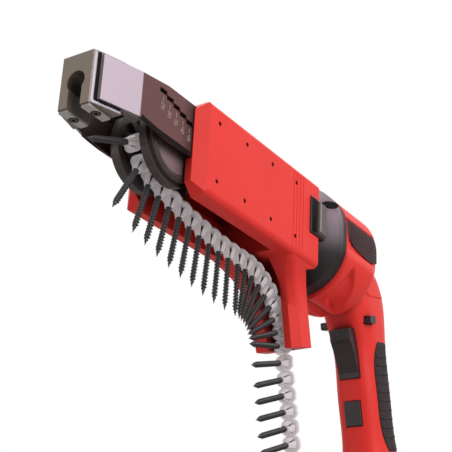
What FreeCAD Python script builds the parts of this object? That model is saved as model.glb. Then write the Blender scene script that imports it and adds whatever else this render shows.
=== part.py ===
"""Cordless drywall screwdriver with a collated-screw magazine, as a parametric document.

The tool stands on its battery pack: origin at the middle of the pack's underside, X towards
the nose, Y to the tool's left and Z up.  The drive axis leans nose-up, so the pieces of the
head are drawn in a drive frame (x along the drive axis from the magazine's joint, z up from
the axis) and are then seated at that lean.
"""
import FreeCAD, Part
import math
import os
import re
import Sketcher
from FreeCAD import Placement, Rotation, Vector

SIZES = [
    # The stance of the tool.
    ("tilt", 13, "nose-up lean of the drive axis, degrees"),
    ("axis_height", 250, "height of the drive axis above the floor at the magazine joint"),
    ("joint_ahead", 102, "magazine joint ahead of the battery's middle"),
    # Fits shared by the pieces.
    ("slide_gap", 0.3, "gap at each side of a sliding piece"),
    ("run_gap", 0.03, "radial gap of a shaft in its bore"),
    # Magazine housing, in the drive frame.
    ("magazine_length", 131, "joint to the front of the magazine"),
    ("magazine_rear", 5, "magazine skirt behind the joint"),
    ("magazine_wall", 7.4, "side wall of the magazine"),
    ("magazine_roof", 4.4, "roof of the magazine"),
    ("magazine_bottom", 37, "underside of the magazine below the axis"),
    ("magazine_round", 4, "radius of the magazine's long edges"),
    ("rim_bevel", 7, "bevel round the magazine's front"),
    ("spring_land", 16, "land for the return spring behind the slideway"),
    ("feedway_lead", 2, "slot under the magazine behind the slideway's end"),
    ("feedway_gap", 2.5, "gap between the feed cheeks and the slot"),
    ("hole_radius", 1.4, "radius of a screw hole in the magazine's side"),
    ("hole_sink", 1.2, "depth of a screw head below the magazine's side"),
    ("hole_depth", 4.6, "depth of a screw hole in the magazine's side"),
    ("hole_inset", 16, "front column of holes behind the magazine's front"),
    ("hole_pitch", 30, "distance between columns of holes"),
    ("hole_upper", 12.3, "upper row of holes above the axis"),
    ("hole_lower", 25.5, "lower row of holes below the axis"),
    # Chute for the strip under the rear of the magazine, upright when the tool stands.
    ("hang_ahead", 4.9, "line of the hanging screw heads ahead of the joint"),
    ("leg_wall", 2.8, "rear wall of the chute"),
    ("leg_bevel", 5, "bevel down the front of the chute's left wall"),
    ("leg_reach", 13.1, "front edge of the chute's left wall ahead of the hanging heads"),
    ("gusset_reach", 25.1, "top of the chute's right wall ahead of the hanging heads"),
    ("gusset_toe", 9.1, "lower end of the chute's right wall ahead of the hanging heads"),
    ("leg_side", 9.7, "side wall of the chute"),
    ("leg_drop", 88, "lower end of the chute below the joint"),
    ("leg_lap", 12, "chute's upper end inside the magazine"),
    ("channel_gap", 1.6, "room behind the screw heads in the chute"),
    ("guide_depth", 2, "depth of the guide rib below the magazine"),
    ("guide_thick", 2.5, "thickness of the guide rib"),
    # Release buttons at the magazine's rear.
    ("button_gap", 0.5, "gap between a release button and the gearcase"),
    ("button_front", 6.5, "front end of a release button ahead of the joint"),
    ("button_top", 10.8, "top of a release button above the axis"),
    ("button_bottom", 15.5, "bottom of a release button below the axis"),
    ("button_proud", 1.5, "release button proud of the magazine's side"),
    ("button_deep", 4, "release button inside the magazine's side"),
    ("button_travel", 2.5, "travel of a release button"),
    # Nosepiece: foot and two side plates.
    ("nose_reach", 69.5, "front face of the nose ahead of the sprocket axis"),
    ("foot_length", 20, "length of the foot"),
    ("foot_half_width", 10.6, "half width of the foot's front face"),
    ("foot_top", 16.9, "top of the foot above the axis"),
    ("foot_bottom", 15.6, "underside of the foot below the axis"),
    ("keyhole_radius", 6.2, "radius of the hole that the screw leaves by"),
    ("keyslot_half_width", 4.8, "half width of the slot below that hole"),
    ("pad_thick", 1.6, "thickness of the wear pads under the foot"),
    ("pad_rim", 0.45, "rim of a wear pad beside its screw"),
    ("plate_setback", 5, "front edge of the side plates behind the nose's front"),
    ("taper_length", 25.5, "length of the side plates' tapered front"),
    ("plate_lap", 31, "lap of the side plates on the carriage's wide part"),
    ("plate_tip_half_width", 14.3, "half width over the plates' front edges"),
    ("plate_half_width", 21.3, "half width over the side plates"),
    ("plate_top", 18.8, "top of the side plates above the axis"),
    ("plate_bottom", 15, "underside of the side plates below the axis"),
    ("plate_thick", 1.6, "thickness of the side plates"),
    ("shoulder_length", 23.5, "slope from the taper to the side plates' full height"),
    ("plate_tip_top", 15.5, "top of the side plates' front above the axis"),
    ("plate_tip_bottom", 12.3, "underside of the side plates' front below the axis"),
    ("notch_lead", 15.5, "front notch of the length scale behind the bend"),
    ("notch_step", 6.5, "distance between the notches of the length scale"),
    ("notch_height", 4, "height of a notch of the length scale"),
    # Carriage with the feed cheeks.
    ("carriage_reach", 50.5, "rear of the carriage behind the sprocket axis"),
    ("carriage_wall", 6, "thickness of the carriage's rear wall"),
    ("bridge_reach", 19.5, "front of the carriage's bridge ahead of the sprocket axis"),
    ("carriage_wide", 40, "length of the carriage's wide rear part"),
    ("bridge_low", 5.5, "underside of the bridge above the axis"),
    ("bridge_thick", 6.5, "thickness of the bridge"),
    ("sprocket_ahead", 140.5, "sprocket axis ahead of the joint"),
    ("sprocket_drop", 6.7, "sprocket axis below the drive axis"),
    ("cheek_back", 3, "middle of the round cheeks behind the sprocket axis"),
    ("cheek_lower", 1.3, "middle of the round cheeks below the sprocket axis"),
    ("cheek_radius", 25.5, "radius of the round cheeks"),
    ("strip_side_gap", 0.6, "gap between the strip and a cheek"),
    ("cheek_thick", 7.4, "thickness of a cheek"),
    ("cheek_step", 2.4, "step round the outer face of a cheek"),
    ("stub_radius", 4, "radius of the sprocket's stub axles"),
    ("sprocket_thick", 2.2, "thickness of a sprocket wheel"),
    ("sprocket_teeth", 9, "teeth on a sprocket wheel"),
    ("tooth_reach", 2, "reach of a sprocket tooth beyond the circle of the screw heads"),
    ("bit_clear", 1.6, "gap round the bit in the carriage"),
    # Collated strip.
    ("strip_pitch", 10.4, "distance between screws on the strip"),
    ("strip_half_width", 7, "half width of the plastic band"),
    ("band_thick", 1.4, "thickness of the plastic band"),
    ("band_below_head", 4.6, "band below the top of the screw heads"),
    ("collar_radius", 3.9, "radius of a collar on the band"),
    ("collar_length", 5, "length of a collar below the head"),
    ("screw_length", 45, "length of a drywall screw"),
    ("screw_radius", 1.75, "radius of a screw's thread"),
    ("head_radius", 4.1, "radius of a screw's bugle head"),
    ("head_rim", 0.7, "thickness of the head's rim"),
    ("head_height", 3.8, "height of the bugle head"),
    ("point_length", 6, "length of a screw's point"),
    ("on_deck_angle", 20.7, "angle of the first screw below the drive axis, degrees"),
    ("leave_angle", 71.6, "screw angle where the strip leaves the sprocket, degrees"),
    ("bend_room", 15, "radius of the strip's bend beyond a screw's length"),
    ("droop_angle", 7.6, "droop of a hanging screw, degrees"),
    ("strip_count", 30, "screws left on the strip"),
    ("front_count", 4, "screws of the strip that ride with the carriage"),
    ("middle_count", 8, "screws of the strip's run that gathers"),
    # Return spring of the carriage.
    ("spring_radius", 10.6, "mean radius of the return spring"),
    ("spring_wire", 1.8, "wire diameter of the return spring"),
    ("spring_turns", 10, "turns of the return spring"),
    # Gearcase and barrel of the gun, in the drive frame.
    ("neck_radius", 16, "radius of the gearcase neck"),
    ("neck_front", 22, "front of the neck ahead of the joint"),
    ("collar_front", 12, "front of the gearcase collar behind the joint"),
    ("gear_gap", 1.5, "gap before the spindle gear"),
    ("gear_tail", 3.5, "gap behind the spindle gear"),
    ("collar_lip", 1.5, "gearcase proud of the barrel"),
    ("gearcase_bevel", 11, "bevel at the front of the gearcase"),
    ("stator_room", 0.8, "gap between the stator and the barrel"),
    ("barrel_drop", 8, "extra depth of the barrel below its axis"),
    ("barrel_end", 5, "end wall of the barrel"),
    ("barrel_round", 11, "radius round the barrel's rear"),
    ("barrel_wall", 3, "wall of the barrel and the gearcase"),
    ("lens_radius", 4, "radius of the work light's lens"),
    ("vent_lead", 10, "front of the vent panel behind the gearcase"),
    ("vent_tail", 7, "rear of the vent panel ahead of the barrel's rear"),
    ("vent_top", 22, "top of the vent panel above the axis"),
    ("vent_thick", 1.6, "thickness of the vent panel"),
    ("vent_proud", 0.4, "vent panel proud of the barrel"),
    # Drive train.
    ("gear_module", 0.75, "module of the gear pair"),
    ("gear_teeth", 30, "teeth on the spindle gear"),
    ("pinion_teeth", 10, "teeth on the motor pinion"),
    ("mesh_gap", 0.12, "extra centre distance for backlash"),
    ("gear_width", 8, "width of the spindle gear"),
    ("spindle_radius", 6, "radius of the spindle"),
    ("nose_recess", 4, "spindle's front behind the neck's front"),
    ("nose_radius", 8, "radius of the spindle's bit holder"),
    ("tail_radius", 4, "radius of the spindle's tail"),
    ("socket_depth", 16, "depth of the bit socket"),
    ("bit_hex", 6.35, "width across flats of the bit's shank"),
    ("bit_radius", 3, "radius of the bit's shaft"),
    ("bit_length", 106, "length of the bit"),
    ("bearing_front_radius", 11, "outer radius of the front spindle bearing"),
    ("bearing_rear_radius", 7, "outer radius of the rear spindle bearing"),
    ("bearing_web", 2.1, "web between the two bearings in the middle plate"),
    ("bearing_width", 5, "width of a bearing"),
    ("plate_width", 5, "thickness of the two bearing plates"),
    ("motor_shaft_radius", 2, "radius of the motor shaft"),
    ("stator_radius", 22.6, "outer radius of the stator"),
    ("stator_length", 26, "length of the stator"),
    ("motor_gap", 3, "gap between the middle plate and the stator"),
    ("rotor_radius", 12, "radius of the rotor"),
    ("air_gap", 0.5, "gap between rotor and stator"),
    ("fan_radius", 18, "radius of the fan"),
    ("fan_gap", 2, "gap each side of the fan"),
    ("fan_width", 7, "width of the fan"),
    ("fan_blades", 9, "blades on the fan"),
    ("blade_width", 1.2, "thickness of a fan blade"),
    # Handle, upright when the tool stands.
    ("handle_front", 18, "front of the handle ahead of its axis"),
    ("handle_back", 22, "back of the handle behind its axis"),
    ("handle_half_width", 16, "half width of the handle"),
    ("handle_round", 12, "radius of the handle's edges"),
    ("handle_wall", 3, "wall of the handle"),
    ("handle_sink", 44, "top of the handle's hollow below the joint's height"),
    ("tail_depth", 72, "lower end of the tail below the joint's height"),
    ("tail_sink", 18, "top of the tail below the joint's height"),
    ("tail_lap", 10, "lap of the tail on the barrel"),
    ("tail_back", 25, "back of the tail behind the handle's axis"),
    ("tail_half_width", 17.6, "half width of the tail"),
    ("hump_sink", 38, "widest part of the tail below the joint's height"),
    ("hump_reach", 6, "tail's widest part ahead of its front"),
    ("crown_depth", 34, "back of the tail's crown behind its front"),
    ("crown_slim", 2, "crown slimmer than the tail at each side"),
    ("cap_rise", 12, "tail's upper end, inside the barrel, above its crown"),
    ("cap_depth", 12, "back of the tail's upper end behind its front"),
    ("web_reach", 4, "front of the handle above the trigger ahead of the grip's front"),
    ("palm_swell", 2, "swell of the handle's back in the palm"),
    ("ankle_swell", 2.5, "swell of the handle above the battery foot"),
    ("grip_square", 3, "squareness of the handle's sections"),
    ("foot_rise", 26, "height of the battery foot above the pack"),
    ("foot_block_front", 38, "front of the battery foot"),
    ("foot_end", 5.7, "battery foot behind the rails"),
    ("foot_side", 4.7, "side wall of the battery foot"),
    ("foot_shoulder", 9, "slope at the top of the battery foot"),
    ("foot_square", 6, "squareness of the battery foot's sections"),
    ("pad_rise", 16, "lower end of the grip pad above the battery foot"),
    ("pad_gap", 2, "upper end of the grip pad below the tail"),
    ("pad_half_width", 9, "half width of the grip pad"),
    ("pad_deep", 1.6, "depth of the grip pad in the handle"),
    ("pad_proud", 1.2, "grip pad proud of the handle"),
    # Trigger and switches.
    ("trigger_length", 35.5, "height of the trigger"),
    ("trigger_gap", 2.5, "gap between the trigger and the direction shuttle"),
    ("trigger_half_width", 8, "half width of the trigger"),
    ("trigger_reach", 9, "reach of the trigger's top ahead of the handle"),
    ("trigger_lip", 1, "reach of the trigger's lower end ahead of the handle"),
    ("trigger_depth", 10, "depth of the trigger inside the handle"),
    ("trigger_travel", 5, "travel of the trigger"),
    ("trigger_spring_radius", 3.6, "mean radius of the trigger spring"),
    ("trigger_spring_wire", 0.9, "wire diameter of the trigger spring"),
    ("trigger_spring_turns", 5, "turns of the trigger spring"),
    ("spring_pocket", 8, "depth of the spring pocket in the trigger"),
    ("shuttle_sink", 66, "underside of the direction shuttle below the joint's height"),
    ("shuttle_height", 5.5, "height of the direction shuttle"),
    ("shuttle_recess", 10, "direction shuttle behind the tail's front"),
    ("shuttle_depth", 9, "depth of the direction shuttle"),
    ("shuttle_proud", 2.9, "direction shuttle proud of the tail's side"),
    ("lock_length", 18, "height of the lock-on button"),
    ("lock_gap", 16, "lock-on button below the trigger"),
    ("lock_half_width", 6.5, "half width of the lock-on button"),
    ("lock_depth", 6, "depth of the lock-on button in the handle"),
    ("lock_proud", 0.8, "lock-on button proud of the handle"),
    ("board_thick", 20, "thickness of the potted control board"),
    ("board_length", 25, "height of the potted control board"),
    ("board_gap", 10, "control board below the switch"),
    ("body_screw_radius", 2.4, "head radius of the screws that close the body"),
    ("body_screw_sink", 0.8, "depth of those heads below the surface"),
    # Battery pack.
    ("pack_end_room", 11.25, "room at each end of the cells"),
    ("cell_end_room", 3.5, "room at each side of the cells"),
    ("pack_headroom", 2.6, "room above the cells"),
    ("pack_split", 23, "height of the case's parting line"),
    ("pack_round", 9, "radius of the pack's upright edges"),
    ("pack_wall", 3, "wall of the battery pack"),
    ("rail_inner", 14, "inner face of a rail from the middle plane"),
    ("rail_neck_width", 5, "width of a rail's neck"),
    ("rail_lip", 4, "lip of a rail beyond its neck"),
    ("rail_neck_height", 4.5, "height of a rail's neck above the pack"),
    ("rail_height", 9.5, "height of a rail above the pack"),
    ("rail_front", 30, "front end of the rails"),
    ("rail_back", 30, "back end of the rails"),
    ("cell_radius", 9.2, "radius of a cell"),
    ("cell_length", 65, "length of a cell"),
    ("cell_columns", 5, "cells along the pack"),
    ("latch_length", 13, "length of a latch button"),
    ("latch_front", 3, "latch button behind the pack's front edge radius"),
    ("latch_rise", 4, "latch button above the case's parting line"),
    ("latch_height", 13, "height of a latch button"),
    ("latch_proud", 1.4, "latch button proud of the pack"),
    ("blade_thick", 1, "thickness of a contact blade"),
    ("blade_gap", 9, "distance between contact blades"),
]

# Places that follow from the sizes, worked out in the sheet.
PLACES = [
    ("shaft_drop", "gear_module * (gear_teeth + pinion_teeth) / 2 + mesh_gap"),
    ("magazine_half_width", "plate_half_width + slide_gap + magazine_wall"),
    ("magazine_top", "plate_top + slide_gap + magazine_roof"),
    ("slide_start", "neck_front + spring_land"),
    ("feedway_start", "slide_start - feedway_lead"),
    ("hole_first", "magazine_length - hole_inset"),
    ("leg_rear", "hang_ahead - channel_gap - leg_wall"),
    ("leg_front", "hang_ahead + leg_reach"),
    ("gusset_front", "hang_ahead + gusset_reach"),
    ("gusset_foot", "hang_ahead + gusset_toe"),
    ("leg_half_width", "strip_half_width + slide_gap + leg_side"),
    ("leg_root", "magazine_bottom - leg_lap"),
    ("button_rear", "collar_front - button_gap"),
    ("carriage_rear", "sprocket_ahead - carriage_reach"),
    ("carriage_front", "sprocket_ahead + bridge_reach"),
    ("nose_front", "sprocket_ahead + nose_reach"),
    ("plate_front", "nose_front - plate_setback"),
    ("plate_bend", "plate_front - taper_length"),
    ("plate_shoulder", "plate_bend - shoulder_length"),
    ("plate_rear", "carriage_rear + carriage_wide - plate_lap"),
    ("notch_first", "plate_bend - notch_lead"),
    ("foot_screw_radius", "(foot_half_width - keyslot_half_width - slide_gap) / 2 - pad_rim"),
    ("bridge_high", "bridge_low + bridge_thick"),
    ("cheek_ahead", "sprocket_ahead - cheek_back"),
    ("cheek_drop", "sprocket_drop + cheek_lower"),
    ("cheek_inner", "strip_half_width + strip_side_gap"),
    ("cheek_outer", "cheek_inner + cheek_thick"),
    ("bit_room", "bit_radius + bit_clear"),
    ("bend_radius", "screw_length + bend_room"),
    ("pitch_radius", "strip_pitch / 2 / sin(180 / sprocket_teeth)"),
    ("lean_share", "cos(leave_angle - tilt) - sin(tilt)"),
    ("sprocket_run", "sprocket_ahead * cos(tilt) + sprocket_drop * sin(tilt)"),
    ("bend_run", "bend_radius * (1 - sin(tilt)) - pitch_radius * cos(leave_angle - tilt)"),
    ("sag_radius", "(sprocket_run - bend_run - hang_ahead) / lean_share"),
    ("front_bearing", "collar_front + barrel_wall"),
    ("gear_front", "front_bearing + bearing_width + gear_gap"),
    ("collar_rear", "gear_front + gear_width + gear_tail"),
    ("barrel_radius", "shaft_drop + stator_radius + stator_room + barrel_wall - barrel_drop"),
    ("gearcase_radius", "barrel_radius + collar_lip"),
    ("gear_reach", "gear_module * (gear_teeth + 2) / 2"),
    ("pinion_reach", "shaft_drop + gear_module * (pinion_teeth + 2) / 2"),
    ("gear_room_radius", "(gear_reach + pinion_reach) / 2 + gear_gap"),
    ("gear_room_drop", "(pinion_reach - gear_reach) / 2"),
    ("spindle_nose", "neck_front - nose_recess"),
    ("bit_tip", "spindle_nose - socket_depth + bit_length"),
    ("bearing_motor_radius", "shaft_drop - bearing_rear_radius - bearing_web"),
    ("stator_start", "collar_rear + plate_width + motor_gap"),
    ("fan_start", "stator_start + stator_length + fan_gap"),
    ("rear_plate_start", "fan_start + fan_width + fan_gap"),
    ("cavity_rear", "rear_plate_start + plate_width + slide_gap"),
    ("barrel_rear", "cavity_rear + barrel_end"),
    ("vent_front", "collar_rear + vent_lead"),
    ("vent_rear", "barrel_rear - vent_tail"),
    ("handle_top", "axis_height - handle_sink"),
    ("tail_high", "axis_height - tail_sink"),
    ("tail_low", "axis_height - tail_depth"),
    ("tail_front", "joint_ahead - barrel_rear * cos(tilt) + tail_lap"),
    ("shuttle_low", "axis_height - shuttle_sink"),
    ("shuttle_front", "tail_front - shuttle_recess"),
    ("shuttle_half_width", "tail_half_width + shuttle_proud"),
    ("trigger_high", "shuttle_low - trigger_gap"),
    ("trigger_low", "trigger_high - trigger_length"),
    ("lock_high", "trigger_low - lock_gap"),
    ("lock_low", "lock_high - lock_length"),
    ("board_high", "trigger_low - board_gap"),
    ("board_low", "board_high - board_length"),
    ("pack_half_width", "cell_length / 2 + cell_end_room + pack_wall"),
    ("pack_half_length", "cell_columns * (cell_radius + slide_gap / 2) + pack_end_room + pack_wall"),
    ("pack_height", "4 * cell_radius + 2 * slide_gap + pack_headroom + 2 * pack_wall"),
    ("foot_block_top", "pack_height + foot_rise"),
    ("rail_neck", "rail_inner + rail_neck_width"),
    ("rail_outer", "rail_neck + rail_lip"),
    ("foot_block_back", "rail_back + slide_gap + foot_end"),
    ("foot_block_half_width", "rail_outer + slide_gap + foot_side"),
    ("pad_low", "foot_block_top + pad_rise"),
    ("pad_high", "tail_low - pad_gap"),
    ("latch_low", "pack_split + latch_rise"),
]
ALIASES = {alias for alias, *_ in SIZES + PLACES}

doc = FreeCAD.newDocument("DrywallScrewdriver")
sheet = doc.addObject("Spreadsheet::Sheet", "Sizes")
for row, (alias, value, note) in enumerate(SIZES, start=1):
    sheet.set(f"A{row}", note)
    sheet.set(f"B{row}", str(value))
    sheet.setAlias(f"B{row}", alias)
for row, (alias, formula) in enumerate(PLACES, start=len(SIZES) + 1):
    sheet.set(f"A{row}", alias.replace("_", " "))
    sheet.set(f"B{row}", f"={formula}")
    sheet.setAlias(f"B{row}", alias)
doc.recompute()


class Read:
    """The sheet's numbers as attributes, for the shapes worked out point by point."""

    def __getattr__(self, alias):
        return float(sheet.get(alias))


size = Read()
NODES = []


# Formulas and placing.

def linked(formula):
    """A formula in plain size names, tied to the sheet's cells."""
    def tied(word):
        return f"Sizes.{word[0]}" if word[0] in ALIASES else word[0]
    return re.sub(r"[a-z]\w*", tied, str(formula))


def bind(item, **formulas):
    """Tie properties of an object to formulas."""
    for name, formula in formulas.items():
        item.setExpression(name.replace("__", "."), linked(formula))


def both(half):
    """A span of the given half width either side of the middle plane."""
    return f"-({half})", half


def seat(item, x="0", z="0"):
    """Seat an object of the drive frame at the lean of the tool."""
    item.Placement = Placement(Vector(), Rotation(Vector(0, 1, 0), -size.tilt))
    bind(
        item,
        Placement__Rotation__Angle="-tilt",
        Placement__Base__x=f"joint_ahead + ({x}) * cos(tilt) - ({z}) * sin(tilt)",
        Placement__Base__z=f"axis_height + ({x}) * sin(tilt) + ({z}) * cos(tilt)",
    )
    return item


def lean():
    """The drive frame's placement as plain numbers, for the shapes made in code."""
    return Placement(
        Vector(size.joint_ahead, 0, size.axis_height), Rotation(Vector(0, 1, 0), -size.tilt)
    )


def node(label, item):
    """Register a finished sub-part under its own name."""
    item.Label = label
    NODES.append(item)
    return item


# Primitives, booleans and turned or padded bodies.

TURNS = {"x": Rotation(Vector(0, 1, 0), 90), "y": Rotation(Vector(1, 0, 0), -90), "z": Rotation()}


def block(x, y, z):
    """A box between three pairs of formulas."""
    box = doc.addObject("Part::Box", "block")
    for side, axis, (low, high) in zip(("Length", "Width", "Height"), "xyz", (x, y, z)):
        bind(box, **{side: f"({high}) - ({low})", f"Placement__Base__{axis}": low})
    return box


def rod(radius, axis, span, **at):
    """A cylinder along an axis between two formulas."""
    bar = doc.addObject("Part::Cylinder", "rod")
    bar.Placement = Placement(Vector(), TURNS[axis])
    bind(bar, Radius=radius, Height=f"({span[1]}) - ({span[0]})")
    for name, formula in {axis: span[0], **at}.items():
        bind(bar, **{f"Placement__Base__{name}": formula})
    return bar


def cone(radius_start, radius_end, axis, span, **at):
    """A cone along an axis between two formulas."""
    taper = doc.addObject("Part::Cone", "taper")
    taper.Placement = Placement(Vector(), TURNS[axis])
    bind(taper, Radius1=radius_start, Radius2=radius_end, Height=f"({span[1]}) - ({span[0]})")
    for name, formula in {axis: span[0], **at}.items():
        bind(taper, **{f"Placement__Base__{name}": formula})
    return taper


def join(*items):
    """The union of several objects."""
    union = doc.addObject("Part::MultiFuse", "join")
    union.Shapes = list(items)
    union.Refine = True
    return union


def group(*items):
    """Several separate solids as one object."""
    several = doc.addObject("Part::Compound", "group")
    several.Links = list(items)
    return several


def cut(base, *tools):
    """An object less one or more others."""
    less = doc.addObject("Part::Cut", "cut")
    less.Base = base
    less.Tool = tools[0] if len(tools) == 1 else group(*tools)
    less.Refine = True
    return less


def common(base, tool):
    """What two objects share."""
    shared = doc.addObject("Part::Common", "common")
    shared.Base = base
    shared.Tool = tool
    return shared


def rounded(base, radius, pick):
    """An object with the picked edges rounded."""
    doc.recompute()
    edges = [number for number, edge in enumerate(base.Shape.Edges, start=1) if pick(edge)]
    round_edges = doc.addObject("Part::Fillet", "rounded")
    round_edges.Base = base
    round_edges.Edges = [(number, radius, radius) for number in edges]
    return round_edges


def bevelled(base, width, pick):
    """An object with the picked edges bevelled."""
    doc.recompute()
    edges = [number for number, edge in enumerate(base.Shape.Edges, start=1) if pick(edge)]
    bevel = doc.addObject("Part::Chamfer", "bevelled")
    bevel.Base = base
    bevel.Edges = [(number, width, width) for number in edges]
    return bevel


def runs_along(axis, share=0.999):
    """A test for straight edges along an axis, or with the given share of their length along it."""
    def test(edge):
        ends = [vertex.Point for vertex in edge.Vertexes]
        if len(ends) < 2 or edge.Curve.TypeId != "Part::GeomLine":
            return False
        step = ends[1] - ends[0]
        return abs(getattr(step, axis)) > share * step.Length
    return test


def lies_at(axis, place):
    """A test for edges wholly in a plane square to an axis."""
    def test(edge):
        box = edge.BoundBox
        low = getattr(box, f"{axis.upper()}Min")
        high = getattr(box, f"{axis.upper()}Max")
        return abs(low - place) < size.run_gap and abs(high - place) < size.run_gap
    return test


def polygon(body, role, points):
    """A closed sketch on one of a body's origin planes, each corner held by two formulas."""
    sketch = body.newObject("Sketcher::SketchObject", "outline")
    plane = next(item for item in body.Origin.OriginFeatures if item.Role == role)
    sketch.AttachmentSupport = [(plane, "")]
    sketch.MapMode = "FlatFace"
    count = len(points)
    start = [Vector(math.cos(math.tau * i / count), math.sin(math.tau * i / count)) for i in range(count)]
    for i in range(count):
        sketch.addGeometry(Part.LineSegment(start[i], start[(i + 1) % count]))
    for i in range(count):
        sketch.addConstraint(Sketcher.Constraint("Coincident", i, 2, (i + 1) % count, 1))
    for i, corner in enumerate(points):
        for kind, formula, first in zip(("DistanceX", "DistanceY"), corner, start[i]):
            number = sketch.addConstraint(Sketcher.Constraint(kind, -1, 1, i, 1, first))
            sketch.setExpression(f"Constraints[{number}]", linked(formula))
    return sketch


def turned(points):
    """A body turned about the X axis from corners given as (x, radius)."""
    body = doc.addObject("PartDesign::Body", "turned")
    turn = body.newObject("PartDesign::Revolution", "turn")
    turn.Profile = polygon(body, "XY_Plane", points)
    turn.ReferenceAxis = (turn.Profile[0], ["H_Axis"])
    turn.Angle = 360
    return body


def padded(role, points, span):
    """A body padded from a sketch on an origin plane, over a span along the plane's axis."""
    body = doc.addObject("PartDesign::Body", "padded")
    sketch = polygon(body, role, points)
    start = f"-({span[1]})" if role == "XZ_Plane" else span[0]
    sketch.setExpression("AttachmentOffset.Base.z", linked(start))
    pad = body.newObject("PartDesign::Pad", "pad")
    pad.Profile = sketch
    bind(pad, Length=f"({span[1]}) - ({span[0]})")
    return body


def made(shape, placement=None):
    """An object whose shape is worked out in code."""
    item = doc.addObject("Part::Feature", "made")
    item.Shape = shape
    item.Placement = placement or Placement()
    return item


def stadium(radius, drop, span):
    """A barrel shape along x: a circle on the axis, one below it and the block between."""
    return join(
        rod(radius, "x", span),
        rod(radius, "x", span, z=f"-({drop})"),
        block(span, both(radius), (f"-({drop})", "0")),
    )


LEFT = block(("-400", "400"), ("0", "200"), ("-200", "500"))
RIGHT = block(("-400", "400"), ("-200", "0"), ("-200", "500"))


# The collated strip's path, in the drive frame.

def strip_place(run):
    """Head point and pointing direction of the screw a given run along the strip."""
    middle = Vector(size.sprocket_ahead, 0, -size.sprocket_drop)
    radius = size.pitch_radius
    angle = size.on_deck_angle + math.degrees(run / radius)
    if angle <= size.leave_angle:
        return middle + pointing(angle) * radius, pointing(angle)
    run -= math.radians(size.leave_angle - size.on_deck_angle) * radius
    leave = middle + pointing(size.leave_angle) * radius
    centre = leave - pointing(size.leave_angle) * size.sag_radius
    angle = size.leave_angle + math.degrees(run / size.sag_radius)
    if angle <= 90:
        return centre + pointing(angle) * size.sag_radius, pointing(angle)
    run -= math.radians(90 - size.leave_angle) * size.sag_radius
    centre = centre + pointing(90) * (size.sag_radius + size.bend_radius)
    turn = min(math.degrees(run / size.bend_radius), 90 - size.tilt)
    head = centre - pointing(90 - turn) * size.bend_radius
    run -= math.radians(turn) * size.bend_radius
    down = Vector(-math.sin(math.radians(size.tilt)), 0, -math.cos(math.radians(size.tilt)))
    settle = min(run / (2 * size.strip_pitch), 1) if run > 0 else 0
    return head + down * max(run, 0), pointing(90 - turn + settle * size.droop_angle)


def bend_centre():
    """Middle of the strip's bend into the chute, in the drive frame."""
    middle = Vector(size.sprocket_ahead, 0, -size.sprocket_drop)
    leave = middle + pointing(size.leave_angle) * (size.pitch_radius - size.sag_radius)
    return leave + pointing(90) * (size.sag_radius + size.bend_radius)


def pointing(angle):
    """Direction in the middle plane, an angle in degrees below forward."""
    return Vector(math.cos(math.radians(angle)), 0, -math.sin(math.radians(angle)))


def drywall_screw(head, direction):
    """One bugle-headed screw, its head's top at a point."""
    profile = [
        (0, 0),
        (size.head_radius, 0),
        (size.head_radius, size.head_rim),
        (size.screw_radius, size.head_height),
        (size.screw_radius, size.screw_length - size.point_length),
        (0, size.screw_length),
    ]
    corners = [Vector(radius, 0, depth) for radius, depth in profile + profile[:1]]
    solid = Part.Face(Part.makePolygon(corners)).revolve(Vector(), Vector(0, 0, 1), 360)
    solid.Placement = Placement(head, Rotation(Vector(0, 0, 1), direction))
    return solid


def strip_section(numbers):
    """Band with its collars, and the screws, for a run of screw numbers."""
    runs = [number * size.strip_pitch for number in numbers]
    half = size.strip_pitch / 2
    upper = []
    lower = []
    for run in [max(runs[0] - half, 0)] + runs + [runs[-1] + half - size.slide_gap]:
        head, direction = strip_place(run)
        upper.append(head + direction * size.band_below_head)
        lower.append(head + direction * (size.band_below_head + size.band_thick))
    outline = Part.makePolygon(upper + lower[::-1] + upper[:1])
    flat = Part.Face(outline)
    width = Vector(0, 2 * size.strip_half_width, 0)
    flat.translate(width * -0.5)
    band = flat.extrude(width)
    screws = []
    for run in runs:
        head, direction = strip_place(run)
        top = head + direction * size.band_below_head
        band = band.fuse(Part.makeCylinder(size.collar_radius, size.collar_length, top, direction))
    for run in runs:
        head, direction = strip_place(run)
        bore = size.screw_radius + size.run_gap
        band = band.cut(Part.makeCylinder(bore, size.screw_length, head, direction))
        screws.append(drywall_screw(head, direction))
    return band.removeSplitter(), Part.makeCompound(screws)


FRONT_END = int(size.front_count)
MIDDLE_END = FRONT_END + int(size.middle_count)
STRIP = {
    "front": range(FRONT_END),
    "middle": range(FRONT_END, MIDDLE_END),
    "rear": range(MIDDLE_END, int(size.strip_count)),
}
for part_name, numbers in STRIP.items():
    band, screws = strip_section(numbers)
    node(f"strip_{part_name}", made(band, lean()))
    node(f"screws_{part_name}", made(screws, lean()))


# Magazine housing with the chute.

PLATE_INNER = "plate_half_width - plate_thick"
SLIDEWAY = "plate_half_width + slide_gap"
FEEDWAY = "cheek_outer + feedway_gap"


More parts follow.
